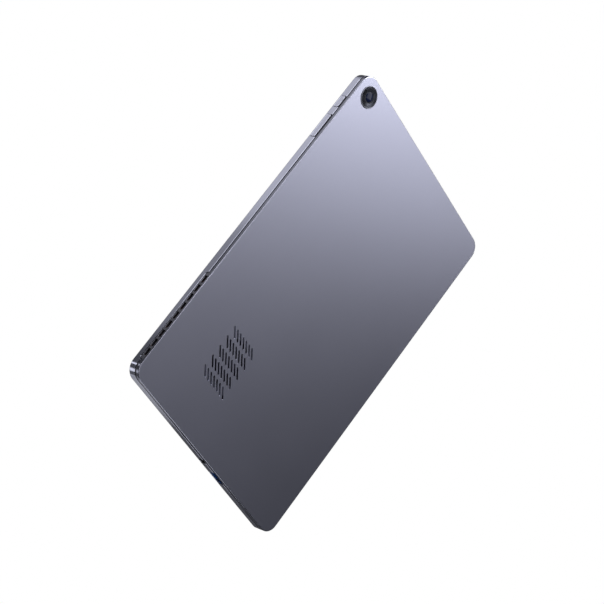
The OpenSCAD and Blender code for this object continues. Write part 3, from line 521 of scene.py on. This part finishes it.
def make_material(name, colour, rough, metal=0.0, grain=4000.0, spread=0.08, mottle=0.08, depth=2e-6,
                  coat=0.0, ior=1.5, pattern=None, centre=(0, 0), pitch=0.0002):
    """One procedural finish; pattern adds a second group's relief, centred where needed.

    grain is the scale of the fine noise per metre; depth and pitch are in metres.
    """
    mat = bpy.data.materials.new(name)
    mat.use_nodes = True
    tree = mat.node_tree
    shader = tree.nodes["Principled BSDF"]
    vector = tree.nodes.new("ShaderNodeTexCoord").outputs["Object"]
    grain_node = tree.nodes.new("ShaderNodeGroup")
    grain_node.node_tree = SURFACE
    tree.links.new(vector, grain_node.inputs["Vector"])
    for label, value in (("Colour", (*colour, 1)), ("Grain", grain), ("Roughness", rough),
                         ("Spread", spread), ("Mottle", mottle)):
        grain_node.inputs[label].default_value = value
    height = grain_node.outputs["Height"]
    if pattern is not None:
        extra = tree.nodes.new("ShaderNodeGroup")
        extra.node_tree = pattern
        if pattern is TRACES:
            extra.inputs["Colour"].default_value = (*colour, 1)
            tree.links.new(vector, extra.inputs["Vector"])
            tree.links.new(extra.outputs["Colour"], grain_node.inputs["Colour"])
        else:
            shift = tree.nodes.new("ShaderNodeMapping")
            shift.inputs["Location"].default_value = (-centre[0] * MM, -centre[1] * MM, 0)
            tree.links.new(vector, shift.inputs["Vector"])
            tree.links.new(shift.outputs["Vector"], extra.inputs["Vector"])
            extra.inputs["Pitch"].default_value = pitch
        height = maths(tree, "MULTIPLY_ADD", extra.outputs["Height"], 2.0, height)
    bump = tree.nodes.new("ShaderNodeBump")
    bump.inputs["Distance"].default_value = depth
    bump.inputs["Strength"].default_value = 1.0
    tree.links.new(height, bump.inputs["Height"])
    tree.links.new(grain_node.outputs["Colour"], shader.inputs["Base Color"])
    tree.links.new(grain_node.outputs["Roughness"], shader.inputs["Roughness"])
    tree.links.new(bump.outputs["Normal"], shader.inputs["Normal"])
    for label, value in (("Metallic", metal), ("IOR", ior), ("Coat Weight", coat), ("Coat Roughness", 0.05)):
        shader.inputs[label].default_value = value
    return mat


BLASTED = make_material("blasted_cover_metal", (0.40, 0.41, 0.52), 0.40, 1.0, grain=9000, spread=0.06,
                        mottle=0.03, depth=1.5e-6)
SATIN = make_material("satin_frame_metal", (0.42, 0.43, 0.53), 0.16, 1.0, grain=9000, spread=0.05,
                      mottle=0.03, depth=6e-7)
# Upright side wall of the cover: the satin metal at about half brightness, a darker copy whose colour is
# painted shade
SHADED_WALL_METAL = make_material("satin_cover_wall", (0.20, 0.205, 0.26), 0.22, 1.0, grain=9000, spread=0.05,
                           mottle=0.03, depth=6e-7)
KEY = make_material("key_metal", (0.48, 0.49, 0.60), 0.28, 1.0, grain=9000, spread=0.05, mottle=0.04,
                    depth=6e-7)
SEAM = make_material("seam_plastic", (0.030, 0.029, 0.055), 0.42, grain=6000, mottle=0.2, depth=2e-6)
VENT = make_material("vent_plastic", (0.20, 0.20, 0.24), 0.36, 0.8, grain=6000, mottle=0.15, depth=2e-6)
BEZEL = make_material("camera_ring_metal", (0.16, 0.165, 0.20), 0.30, 1.0, grain=9000, spread=0.05,
                      mottle=0.03, depth=4e-7)
CAM_GLASS = make_material("camera_glass", (0.006, 0.008, 0.016), 0.06, grain=300, spread=0.03, mottle=0.5,
                          depth=0, ior=1.25)
GROOVED = make_material("turned_camera_disc", (0.022, 0.023, 0.030), 0.16, 1.0, grain=2000, depth=7e-6,
                        pattern=RINGS, centre=(CAM_X, CAM_Y), pitch=0.00025)
LENS = make_material("lens_glass", (0.006, 0.009, 0.030), 0.10, grain=500, spread=0.03, mottle=0.4,
                     depth=0, ior=1.3)
MOULDED = make_material("black_moulding", (0.018, 0.018, 0.020), 0.5, grain=3500, mottle=0.3, depth=6e-6)
SHEET = make_material("plated_sheet", (0.60, 0.61, 0.63), 0.32, 1.0, grain=1500, mottle=0.12, depth=2e-6)
STEEL = make_material("ground_steel", (0.66, 0.67, 0.69), 0.25, 1.0, grain=2500, mottle=0.1, depth=1e-6)
COPPER = make_material("bare_copper", (0.70, 0.36, 0.20), 0.34, 1.0, grain=900, spread=0.2, mottle=0.35,
                       depth=3e-6)
BRONZE = make_material("sintered_bronze", (0.50, 0.36, 0.17), 0.5, 1.0, grain=7000, mottle=0.4, depth=6e-6)
FERRITE = make_material("bonded_ferrite", (0.09, 0.09, 0.095), 0.55, 0.4, grain=4500, mottle=0.3, depth=5e-6)
FAN = make_material("fan_moulding", (0.035, 0.036, 0.042), 0.38, grain=3500, mottle=0.25, depth=4e-6)
FLEX = make_material("polyimide_film", (0.42, 0.20, 0.05), 0.25, grain=700, mottle=0.2, depth=2e-6, coat=0.4)
WHITE = make_material("white_moulding", (0.72, 0.70, 0.63), 0.45, grain=3000, mottle=0.08, depth=3e-6)
BOARD = make_material("green_solder_mask", (0.012, 0.065, 0.040), 0.32, grain=2500, mottle=0.2, depth=2e-5,
                      coat=0.5, pattern=TRACES)
CARD = make_material("blue_solder_mask", (0.010, 0.030, 0.090), 0.32, grain=2500, mottle=0.2, depth=2e-5,
                     coat=0.5, pattern=TRACES)
CHIP = make_material("chip_package", (0.028, 0.029, 0.032), 0.48, grain=6000, mottle=0.25, depth=4e-6)
FOIL = make_material("battery_film", (0.045, 0.046, 0.052), 0.36, 0.2, grain=220, spread=0.2, mottle=0.35,
                     depth=4e-5, coat=0.3)
PAD = make_material("silicone_pad", (0.25, 0.29, 0.33), 0.62, grain=2500, mottle=0.2, depth=8e-6)
FOAM = make_material("foam_tape", (0.025, 0.025, 0.027), 0.75, grain=5000, mottle=0.4, depth=1e-5)
ACRYLIC = make_material("light_guide_acrylic", (0.86, 0.87, 0.85), 0.12, grain=900, mottle=0.05, depth=1e-6,
                        coat=0.6)
PANEL = make_material("polariser_film", (0.010, 0.011, 0.016), 0.12, grain=700, mottle=0.3, depth=0, coat=0.8)
BLUE = make_material("blue_moulding", (0.015, 0.16, 0.62), 0.35, grain=3500, mottle=0.12, depth=4e-6)
GOLD = make_material("gold_plating", (0.78, 0.56, 0.24), 0.28, 1.0, grain=2500, mottle=0.12, depth=1e-6)
CONE = make_material("speaker_cone_film", (0.10, 0.10, 0.11), 0.45, grain=2500, mottle=0.3, depth=4e-6)
MESH = make_material("acoustic_mesh", (0.012, 0.012, 0.014), 0.55, grain=6000, mottle=0.4, depth=3e-5,
                     pattern=WEAVE, pitch=0.00028)


# ---------------------------------------------------------------- casing

def finish_piece(obj, material, body, nodes):
    """Gives a piece its finish, its body and the CAD nodes that it stands for."""
    obj.data.materials.clear()
    obj.data.materials.append(material)
    obj.data.polygons.foreach_set("material_index", [0] * len(obj.data.polygons))
    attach(obj, body)
    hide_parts(*nodes)
    return obj


def clear_size(box, axis):
    """Size of a box along an axis, with clearance at both ends."""
    return box[1][axis] - box[0][axis] + 2 * CLEAR


def insert_opening():
    """The opening for the vent strip, through the long side."""
    section = slot(middle(INSERT, 0), middle(INSERT, 2), clear_size(INSERT, 0), clear_size(INSERT, 2), 12)
    return tool("insert_opening", section, FACE_Y,
                ((-HALF_W - OVER, EDGE), (-HALF_W, EDGE), (-HALF_W + EDGE, 0), (-HALF_W + WALL + OVER, 0)))


def data_opening():
    section = box_section(middle(DATA, 1), middle(DATA, 2), clear_size(DATA, 1), clear_size(DATA, 2),
                          DATA_ROUND)
    return tool("data_opening", section, FACE_X,
                ((DATA[0][0] - CLEAR, 0), (HALF_L - EDGE, 0), (HALF_L, EDGE), (HALF_L + OVER, EDGE)))


def jack_opening():
    r = (JACK[1][1] - JACK[0][1]) / 2 + CLEAR
    return tool("jack_opening", disc(middle(JACK, 1), middle(JACK, 2), r), FACE_X,
                ((HALF_L - WALL - OVER, 0), (HALF_L - EDGE, 0), (HALF_L, EDGE), (HALF_L + OVER, EDGE)))


def charge_opening():
    section = slot(middle(CHARGE, 1), middle(CHARGE, 2), clear_size(CHARGE, 1), clear_size(CHARGE, 2), 10)
    return tool("charge_opening", section, FACE_X,
                ((-HALF_L - OVER, EDGE), (-HALF_L, EDGE), (-HALF_L + EDGE, 0), (CHARGE[1][0] + CLEAR, 0)))


def key_opening(x, length):
    """The opening for a side key, from under its cap to the seam and past the wall."""
    bottom = KEY_Z0 - KEY_GAP
    top = SEAM_Z + KEY_OPENING_ABOVE
    section = box_section(x, (bottom + top) / 2, length + 2 * KEY_GAP, top - bottom, KEY_OPENING_ROUND, 6)
    return tool("key_opening", section, FACE_Y,
                ((-HALF_W - OVER, KEY_OPENING_EDGE), (-HALF_W, KEY_OPENING_EDGE),
                 (-HALF_W + KEY_OPENING_EDGE, 0), (-HALF_W + WALL + KEY_OPENING_BEHIND, 0)))


def build_cover():
    """Rear tray with its rounded edge, the intake slots and the hole for the camera."""
    bm = bmesh.new()
    loops = [outline(COVER_WALL, THICK - COVER_T), outline(COVER_WALL, COVER_Z), outline(COVER_EDGE, COVER_Z),
             outline(0, COVER_Z + COVER_EDGE)]
    loops += [outline(x, z) for x, z in arc(CHAMFER, THICK - CHAMFER, CHAMFER, 180, 90, 6)]
    loft(bm, loops)
    obj = new_object("rear_cover_shell", bm)

    one = tool("intake_slot", slot(0, 0, INTAKE_L, INTAKE_W), FACE_Z,
               ((THICK - COVER_T - 0.3, 0), (THICK - INTAKE_EDGE, 0), (THICK, INTAKE_EDGE),
                (THICK + 0.3, INTAKE_EDGE)))
    slots = repeat("intake_slots", GRID, {
        "Piece": one, "Columns": INTAKE_COLUMNS, "Rows": INTAKE_ROWS, "Pitch X": INTAKE_PITCH_X * MM,
        "Pitch Y": INTAKE_PITCH_Y * MM, "Centre": (FAN_X * MM, FAN_Y * MM, 0), "Turn": radians(INTAKE_TURN)})
    camera_hole = tool("camera_opening", disc(CAM_X, CAM_Y, CAM_HOLE_R, 96), FACE_Z,
                       ((THICK - COVER_T - OVER, 0), (THICK + OVER, 0)))
    cut(obj, [slots, camera_hole, insert_opening(), data_opening()])
    flatten_shading(obj)
    finish_piece(obj, BLASTED, "chassis", ["rear_cover"])
    obj.data.materials.append(SATIN)
    obj.data.materials.append(SHADED_WALL_METAL)
    # Chamfer faces take the satin frame metal; upright wall faces take the darker copy, whose colour is
    # painted shade
    for face in obj.data.polygons:
        x = max(0, abs(face.center.x) / MM - HALF_L + CORNER_R)
        y = max(0, abs(face.center.y) / MM - HALF_W + CORNER_R)
        if sqrt(x * x + y * y) > CORNER_R - CHAMFER - 0.1 and face.normal.z < 0.97:
            face.material_index = 2 if abs(face.normal.z) < 0.1 else 1


def build_frame():
    """Side band and mid plate, with the openings for the keys and sockets."""
    bm = bmesh.new()
    loops = [outline(CAVITY_IN, PLATE_Z), outline(CAVITY_IN, LEDGE_Z), outline(GLASS_IN - CLEAR, LEDGE_Z),
             outline(GLASS_IN - CLEAR, RIM_Z)]
    loops += [outline(x, z) for x, z in arc(RIM_ROUND, RIM_Z + RIM_ROUND, RIM_ROUND, 270, 180, 8)]
    loops += [outline(0, SEAM_Z - FRAME_EDGE), outline(FRAME_EDGE, SEAM_Z), outline(WALL, SEAM_Z),
              outline(WALL, FLOOR_Z)]
    loft(bm, loops)
    obj = new_object("frame_body", bm)
    cutters = [insert_opening(), data_opening(), jack_opening()]
    cutters += [key_opening(x, length) for x, length in KEYS.values()]
    cut(obj, cutters + [charge_opening()])
    flatten_shading(obj)
    finish_piece(obj, SATIN, "chassis", ["mid_frame"])


def build_seam():
    """Dark strip between frame and cover, with a row of sound slots in each long side."""
    bm = bmesh.new()
    edge_in = SEAM_DEPTH + SEAM_EDGE
    loft(bm, [outline(WALL, SEAM_Z), outline(edge_in, SEAM_Z), outline(SEAM_DEPTH, SEAM_Z + SEAM_EDGE),
              outline(SEAM_DEPTH, COVER_Z - SEAM_EDGE), outline(edge_in, COVER_Z), outline(WALL, COVER_Z)],
         close=True)
    obj = new_object("seam_strip", bm)
    cutters = [insert_opening(), data_opening(), jack_opening()]
    for x, y, inward in ((SOUND_X, -HALF_W, 1), (SOUND_X_FAR, HALF_W, -1)):
        levels = ((-OVER, SOUND_EDGE), (SEAM_DEPTH, SOUND_EDGE), (SEAM_DEPTH + SOUND_EDGE, 0),
                  (WALL + OVER, 0))
        cutters.append(repeat_in_row("sound_slot", slot(0, SOUND_Z, SOUND_L, SOUND_H), FACE_Y,
                                     [(y + inward * depth, grow) for depth, grow in levels],
                                     SOUND_COUNT, SOUND_PITCH, x))
    cut(obj, cutters)
    flatten_shading(obj)
    finish_piece(obj, SEAM, "chassis", ["seam_band"])


def build_vents():
    """Strip with the row of exhaust openings."""
    low, high = INSERT
    section = slot(middle(INSERT, 0), middle(INSERT, 2), high[0] - low[0], high[2] - low[2], 12)
    obj = tool("vent_grille", section, FACE_Y,
               ((low[1], -INSERT_EDGE), (low[1] + INSERT_EDGE, 0), (high[1], 0)))
    slots = repeat_in_row("vent_slot", slot(0, middle(INSERT, 2), VENT_L, VENT_H, 12), FACE_Y,
                          ((low[1] - 0.3, VENT_EDGE), (low[1], VENT_EDGE), (low[1] + VENT_EDGE, 0),
                           (high[1] + 0.3, 0)), VENT_COUNT, VENT_PITCH, VENT_X)
    cut(obj, [slots])
    flatten_shading(obj)
    finish_piece(obj, VENT, "chassis", ["vent_insert"])


def build_glass():
    """Front glass with a ground and rounded edge."""
    bm = bmesh.new()
    loops = [outline(GLASS_IN, GLASS_T)]
    loops += [outline(x, z) for x, z in arc(GLASS_IN + GLASS_EDGE, GLASS_EDGE, GLASS_EDGE, 180, 270, 6)]
    loft(bm, loops)
    obj = new_object("display_glass", bm)
    flatten_shading(obj)
    finish_piece(obj, SCREEN, "chassis", ["cover_glass"])


def build_key(node, x, length):
    """A side key: a rounded cap, its neck, and the flange that holds it behind the wall."""
    low, high = corners(node)
    front = low[1]
    neck = front + KEY_CAP_T
    flange = -HALF_W + WALL + KEY_FLANGE_GAP
    back = flange + KEY_FLANGE_T
    z = KEY_Z0 + KEY_H / 2
    bm = bmesh.new()
    prism(bm, box_section(x, z, length, KEY_H, KEY_ROUND, 6), FACE_Y,
          [(front + depth, grow) for depth, grow in KEY_FACE] + [(neck, 0)])

    key_top = KEY_Z0 + KEY_H
    section = box_section(x, z - KEY_NECK_DROP, length - 2 * KEY_NECK_IN, KEY_H - KEY_NECK_LOWER,
                          KEY_STEM_ROUND)
    prism(bm, section, FACE_Y, ((neck, 0), (flange, 0)))
    behind = [(x, length + 2 * KEY_FLANGE_W, FLOOR_Z + KEY_FLANGE_LIFT, key_top - KEY_FLANGE_TOP_IN,
               ((flange, 0), (back, 0)))]
    nubs = [x] if node == "power_key" else [x - NUB_SPREAD / 2, x + NUB_SPREAD / 2]
    for nub in nubs:
        levels = ((back, 0), (back + NUB_T, 0), (high[1], NUB_TAPER))
        behind.append((nub, NUB_W, FLOOR_Z + NUB_LIFT, key_top - NUB_TOP_IN, levels))
    for cx, width, bottom, top, levels in behind:
        section = box_section(cx, (top + bottom) / 2, width, top - bottom, KEY_STEM_ROUND)
        prism(bm, section, FACE_Y, levels)
    obj = new_object(node + "_cap", bm)
    flatten_shading(obj)
    finish_piece(obj, KEY, node, [node])


def build_camera():
    """Raised ring around the camera, and its glass: lens, step and turned disc."""
    bottom, top = CAM_RING[0][2], CAM_RING[1][2]
    window = corners("camera_window")
    window_r = radius(window)
    z0, z1 = window[0][2], window[1][2]
    seat = window_r + 0.05
    profile = [(CAM_BORE_R, bottom), (CAM_STEM_R, bottom), (CAM_STEM_R, THICK), (CAM_R, THICK)]
    profile += arc(CAM_R - CAM_EDGE, top - CAM_EDGE, CAM_EDGE, 0, 90, 6)
    profile += [(window_r + 0.2, top), (seat, top - 0.1), (seat, z0), (CAM_BORE_R, z0),
                (CAM_BORE_R, bottom)]
    bm = bmesh.new()
    revolve(bm, profile, CAM_X, CAM_Y, CAM_STEPS)
    ring = new_object("camera_bezel", bm, 30)
    finish_piece(ring, BEZEL, "chassis", ["camera_ring"])

    bm = bmesh.new()
    revolve(bm, [(0, z0), (window_r, z0), (window_r, z1 - DISC_EDGE), (window_r - DISC_EDGE, z1),
                 (DISC_R, z1), (STEP_OUT, z1 - STEP_DEPTH), (STEP_IN, z1 - STEP_DEPTH), (LENS_R, z1),
                 (0, z1)], CAM_X, CAM_Y, CAM_STEPS)
    glass = new_object("camera_glass_disc", bm, 30)
    finish_piece(glass, CAM_GLASS, "chassis", ["camera_window"])
    glass.data.materials.append(LENS)
    glass.data.materials.append(GROOVED)
    for face in glass.data.polygons:
        away = (face.center.to_2d() - Vector((CAM_X * MM, CAM_Y * MM))).length / MM
        if face.normal.z > 0.5 and away < LENS_R - 0.1:
            face.material_index = 1
        elif face.normal.z > 0.9 and away > DISC_R:
            face.material_index = 2


def build_fan():
    """Impeller: a hub cup, swept blades and the ring that joins their lower corners."""
    z0, z1 = FAN_BOX[0][2], FAN_BOX[1][2]
    tip = FAN_BOX[1][0] - FAN_X
    wall = HUB_R - HUB_T
    bm = bmesh.new()
    revolve(bm, [(wall, z0), (HUB_R, z0), (HUB_R, z1 - HUB_EDGE), (HUB_R - HUB_EDGE, z1), (FAN_BORE_R, z1),
                 (FAN_BORE_R, z1 - HUB_T), (wall, z1 - HUB_T), (wall, z0)], FAN_X, FAN_Y, 72)
    ring_in, ring_top = tip - FAN_RING_W, z0 + FAN_RING_T
    revolve(bm, [(ring_in, z0), (tip, z0), (tip, ring_top), (ring_in, ring_top), (ring_in, z0)],
            FAN_X, FAN_Y)
    wheel = new_object("fan_wheel", bm)
    inner, outer = HUB_R - HUB_T / 2, tip - FAN_RING_W / 2
    left, right = [], []
    for i in range(BLADE_STEPS + 1):
        r = inner + (outer - inner) * i / BLADE_STEPS
        a = -BLADE_SWEEP * (i / BLADE_STEPS) ** BLADE_CURVE
        for side, shift in ((left, BLADE_HALF_T), (right, -BLADE_HALF_T)):
            side.append((r * cos(a) - shift * sin(a), r * sin(a) + shift * cos(a)))
    blade = tool("fan_blade", lambda grow: right + left[::-1], FACE_Z, ((z0, 0), (z1 - HUB_T - 0.1, 0)))
    blades = repeat("fan_blades", RING, {"Piece": blade, "Count": BLADE_COUNT,
                                         "Centre": (FAN_X * MM, FAN_Y * MM, 0), "Material": FAN})
    finish_piece(wheel, FAN, "fan_rotor", ["fan_impeller"])
    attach(blades, "fan_rotor")


def screen_mask_group():
    """Masks of a centred rectangle and of a dot on the Y axis."""
    group, given, out = new_group(
        "screen_mask",
        [("Vector", "NodeSocketVector", None), ("Half X", "NodeSocketFloat", 0.1),
         ("Half Y", "NodeSocketFloat", 0.1), ("Dot Y", "NodeSocketFloat", 0.0),
         ("Dot R", "NodeSocketFloat", 0.001)],
        [("Area", "NodeSocketFloat"), ("Dot", "NodeSocketFloat")])
    x, y = split_vector(group, given)[:2]
    in_x = maths(group, "LESS_THAN", maths(group, "ABSOLUTE", x), given.outputs["Half X"])
    in_y = maths(group, "LESS_THAN", maths(group, "ABSOLUTE", y), given.outputs["Half Y"])
    group.links.new(maths(group, "MULTIPLY", in_x, in_y), out.inputs["Area"])
    away = distance(group, x, maths(group, "SUBTRACT", y, given.outputs["Dot Y"]))
    group.links.new(maths(group, "LESS_THAN", away, given.outputs["Dot R"]), out.inputs["Dot"])
    return group


def rgba(sockets):
    return [socket for socket in sockets if socket.type == "RGBA"]


def mix_colours(tree, factor, first, second):
    """Adds a colour mix; first is a socket or a colour, second a colour, the result a socket."""
    mix = tree.nodes.new("ShaderNodeMix")
    mix.data_type = "RGBA"
    low, high = rgba(mix.inputs)
    high.default_value = (*second, 1)
    if isinstance(first, tuple):
        low.default_value = (*first, 1)
    else:
        tree.links.new(first, low)
    tree.links.new(factor, mix.inputs[0])
    return rgba(mix.outputs)[0]


def add_screen_area(mat, half_l, half_w, shade, window):
    """Shows the picture area, and the front camera's window, inside the black border."""
    tree = mat.node_tree
    shader = tree.nodes["Principled BSDF"]
    mask = tree.nodes.new("ShaderNodeGroup")
    mask.node_tree = screen_mask_group()
    vector = next(n for n in tree.nodes if n.type == "TEX_COORD").outputs["Object"]
    tree.links.new(vector, mask.inputs["Vector"])
    for label, value in (("Half X", half_l), ("Half Y", half_w), ("Dot Y", FRONT_CAMERA_Y),
                         ("Dot R", FRONT_WINDOW_R)):
        mask.inputs[label].default_value = value * MM
    colour = shader.inputs["Base Color"].links[0].from_socket
    for factor, inside in (("Area", shade), ("Dot", window)):
        colour = mix_colours(tree, mask.outputs[factor], colour, inside)
    tree.links.new(colour, shader.inputs["Base Color"])


SCREEN = make_material("display_glass_face", (0.004, 0.004, 0.005), 0.07, grain=200, spread=0.02, mottle=0.4,
                       depth=0, coat=1.0)
panel_high = corners("display_panel")[1]
add_screen_area(SCREEN, panel_high[0] - SCREEN_BORDER, panel_high[1] - SCREEN_BORDER,
                (0.016, 0.017, 0.024), (0.004, 0.006, 0.03))
build_cover()
build_frame()
build_seam()
build_vents()
build_glass()
for key_node, (key_x, key_length) in KEYS.items():
    build_key(key_node, key_x, key_length)
build_camera()
build_fan()


# ---------------------------------------------------------------- finishes of the CAD nodes

FINISHES = {
    "adhesive": FOAM, "panel": PANEL, "sheet_metal": SHEET, "light_guide": ACRYLIC, "flex": FLEX,
    "white_plastic": WHITE, "black_plastic": MOULDED, "lens_glass": LENS, "fan_plastic": FAN,
    "magnet": FERRITE, "steel": STEEL, "bronze": BRONZE, "copper": COPPER, "pad": PAD, "board": BOARD,
    "card": CARD, "chip": CHIP, "battery_foil": FOIL, "blue_plastic": BLUE, "gold": GOLD, "mesh": MESH,
    "cover_metal": BLASTED, "frame_metal": SATIN, "key_metal": KEY, "seam_plastic": SEAM,
    "vent_plastic": VENT, "display_glass": SCREEN, "ring_metal": BEZEL, "camera_glass": CAM_GLASS,
}
for part in frame["record"]["subparts"]:
    mesh = frame["nodes"][part["node"]].data
    mesh.materials.clear()
    mesh.materials.append(CONE if part["node"] == "speaker_cones" else FINISHES[part["material_slot"]])


# ---------------------------------------------------------------- floor, light and camera

# What camera rays see behind the part, and what other rays find there
SEEN = (1, 1, 1)
FLOOR_GLOW, FLOOR_STRENGTH = (0.95, 0.96, 1.0), 0.12
WORLD_GLOW = (0.012, 0.012, 0.014)
FLOOR_DEPTH, FLOOR_SIZE = 1.4, 60.0


def floor_material():
    """Plain white to the camera, and a dimmer glow to other rays."""
    mat = bpy.data.materials.new("floor_white")
    mat.use_nodes = True
    n, link = mat.node_tree.nodes, mat.node_tree.links.new
    n.clear()
    path = n.new("ShaderNodeLightPath")
    mix = n.new("ShaderNodeMixShader")
    out = n.new("ShaderNodeOutputMaterial")
    link(path.outputs["Is Camera Ray"], mix.inputs["Fac"])
    for socket, colour, strength in ((1, FLOOR_GLOW, FLOOR_STRENGTH), (2, SEEN, 1.0)):
        glow = n.new("ShaderNodeEmission")
        glow.inputs["Color"].default_value = (*colour, 1)
        glow.inputs["Strength"].default_value = strength
        link(glow.outputs[0], mix.inputs[socket])
    link(mix.outputs[0], out.inputs["Surface"])
    return mat


def build_world():
    """White to the camera, and nearly black to other rays."""
    world = bpy.data.worlds.new("studio")
    bpy.context.scene.world = world
    world.use_nodes = True
    tree = world.node_tree
    tree.nodes.clear()
    path = tree.nodes.new("ShaderNodeLightPath")
    background = tree.nodes.new("ShaderNodeBackground")
    out = tree.nodes.new("ShaderNodeOutputWorld")
    colour = mix_colours(tree, path.outputs["Is Camera Ray"], WORLD_GLOW, SEEN)
    tree.links.new(colour, background.inputs["Color"])
    tree.links.new(background.outputs[0], out.inputs["Surface"])


bpy.ops.mesh.primitive_plane_add(size=FLOOR_SIZE, location=(0, 0, -FLOOR_DEPTH))
floor = bpy.context.object
floor.name = "pale_floor"
floor.data.materials.append(floor_material())
build_world()


def softbox(name, place, aim, size, power):
    light = bpy.data.lights.new(name, "AREA")
    light.shape = "RECTANGLE"
    light.size, light.size_y = size
    light.energy = power
    obj = bpy.data.objects.new(name, light)
    obj.location = place
    obj.rotation_euler = (Vector(aim) - Vector(place)).to_track_quat("-Z", "Y").to_euler()
    bpy.context.scene.collection.objects.link(obj)
    obj.visible_camera = False


# Each card's name, place, aim and size in metres, and power in watts: cards above for the rear face, low
# and rim cards for the two near sides, and strips for the near corner
softbox("near_card", (-0.387, -0.0435, 0.1745), (-0.30, -0.20, 0), (0.22, 0.22), 1.5)
softbox("high_card", (-0.578, 0.301, 0.558), (-0.30, -0.20, 0), (0.48, 0.48), 1.45)
softbox("top_card", (0, 0, 1.5), (0, 0, 0), (1.0, 1.0), 5.2)
softbox("low_card_a", (-0.3018, -0.3071, -0.2403), (-0.18, -0.088, 0.004), (0.3, 0.3), 0.15)
softbox("low_card_b", (-0.1818, -0.3071, -0.2403), (-0.06, -0.088, 0.004), (0.3, 0.3), 0.08)
softbox("rim_card_a", (-0.3018, -0.3323, 0.2281), (-0.18, -0.088, 0.009), (0.25, 0.25), 0.17)
softbox("rim_card_b", (-0.1618, -0.3323, 0.2281), (-0.04, -0.088, 0.009), (0.25, 0.25), 0.40)
softbox("end_low_card", (0.2508, 0.0091, -0.2403), (0.129, -0.21, 0.004), (0.2, 0.2), 0.05)
softbox("end_rim_card", (0.3733, 0.0991, 0.1308), (0.129, -0.12, 0.009), (0.25, 0.25), 0.22)
softbox("end_far_card", (0.7572, 0.5134, 0.3222), (0.129, -0.05, 0.009), (0.6, 0.6), 0.05)
softbox("strip_a", (0.1746, -0.5139, -0.4138), (0.1228, -0.0873, 0.005), (0.08, 0.6), 0.26)
softbox("strip_b", (0.4963, -0.2998, -0.4138), (0.1261, -0.0853, 0.005), (0.16, 0.6), 0.42)
softbox("strip_c", (0.5395, 0.043, -0.4138), (0.1283, -0.0821, 0.005), (0.07, 0.6), 0.03)

scene = bpy.context.scene
scene.view_settings.view_transform = "Standard"
scene.view_settings.look = "None"

# Camera: the point it looks at and its distance in metres, its angles in degrees, and its lens in millimetres
TARGET = Vector((0.00863792, -0.01378519, 0.0093))
DISTANCE, AZIMUTH, ELEVATION, ROLL, LENS_MM, SENSOR_MM = 1.3380797, 29.0408, 44.2393, 106.034, 123.34, 36.0
azimuth, elevation, roll = radians(AZIMUTH), radians(ELEVATION), radians(ROLL)
back = Vector((sin(azimuth) * cos(elevation), -cos(azimuth) * cos(elevation), sin(elevation)))
level = (-back).cross(Vector((0, 0, 1))).normalized()
upright = level.cross(-back)
right = level * cos(roll) + upright * sin(roll)
turn = Matrix((right, back.cross(right), back)).transposed().to_4x4()
camera_data = bpy.data.cameras.new("camera")
camera_data.lens = LENS_MM
camera_data.sensor_width = SENSOR_MM
camera = bpy.data.objects.new("camera", camera_data)
camera.matrix_world = Matrix.Translation(TARGET + back * DISTANCE) @ turn
scene.collection.objects.link(camera)
scene.camera = camera
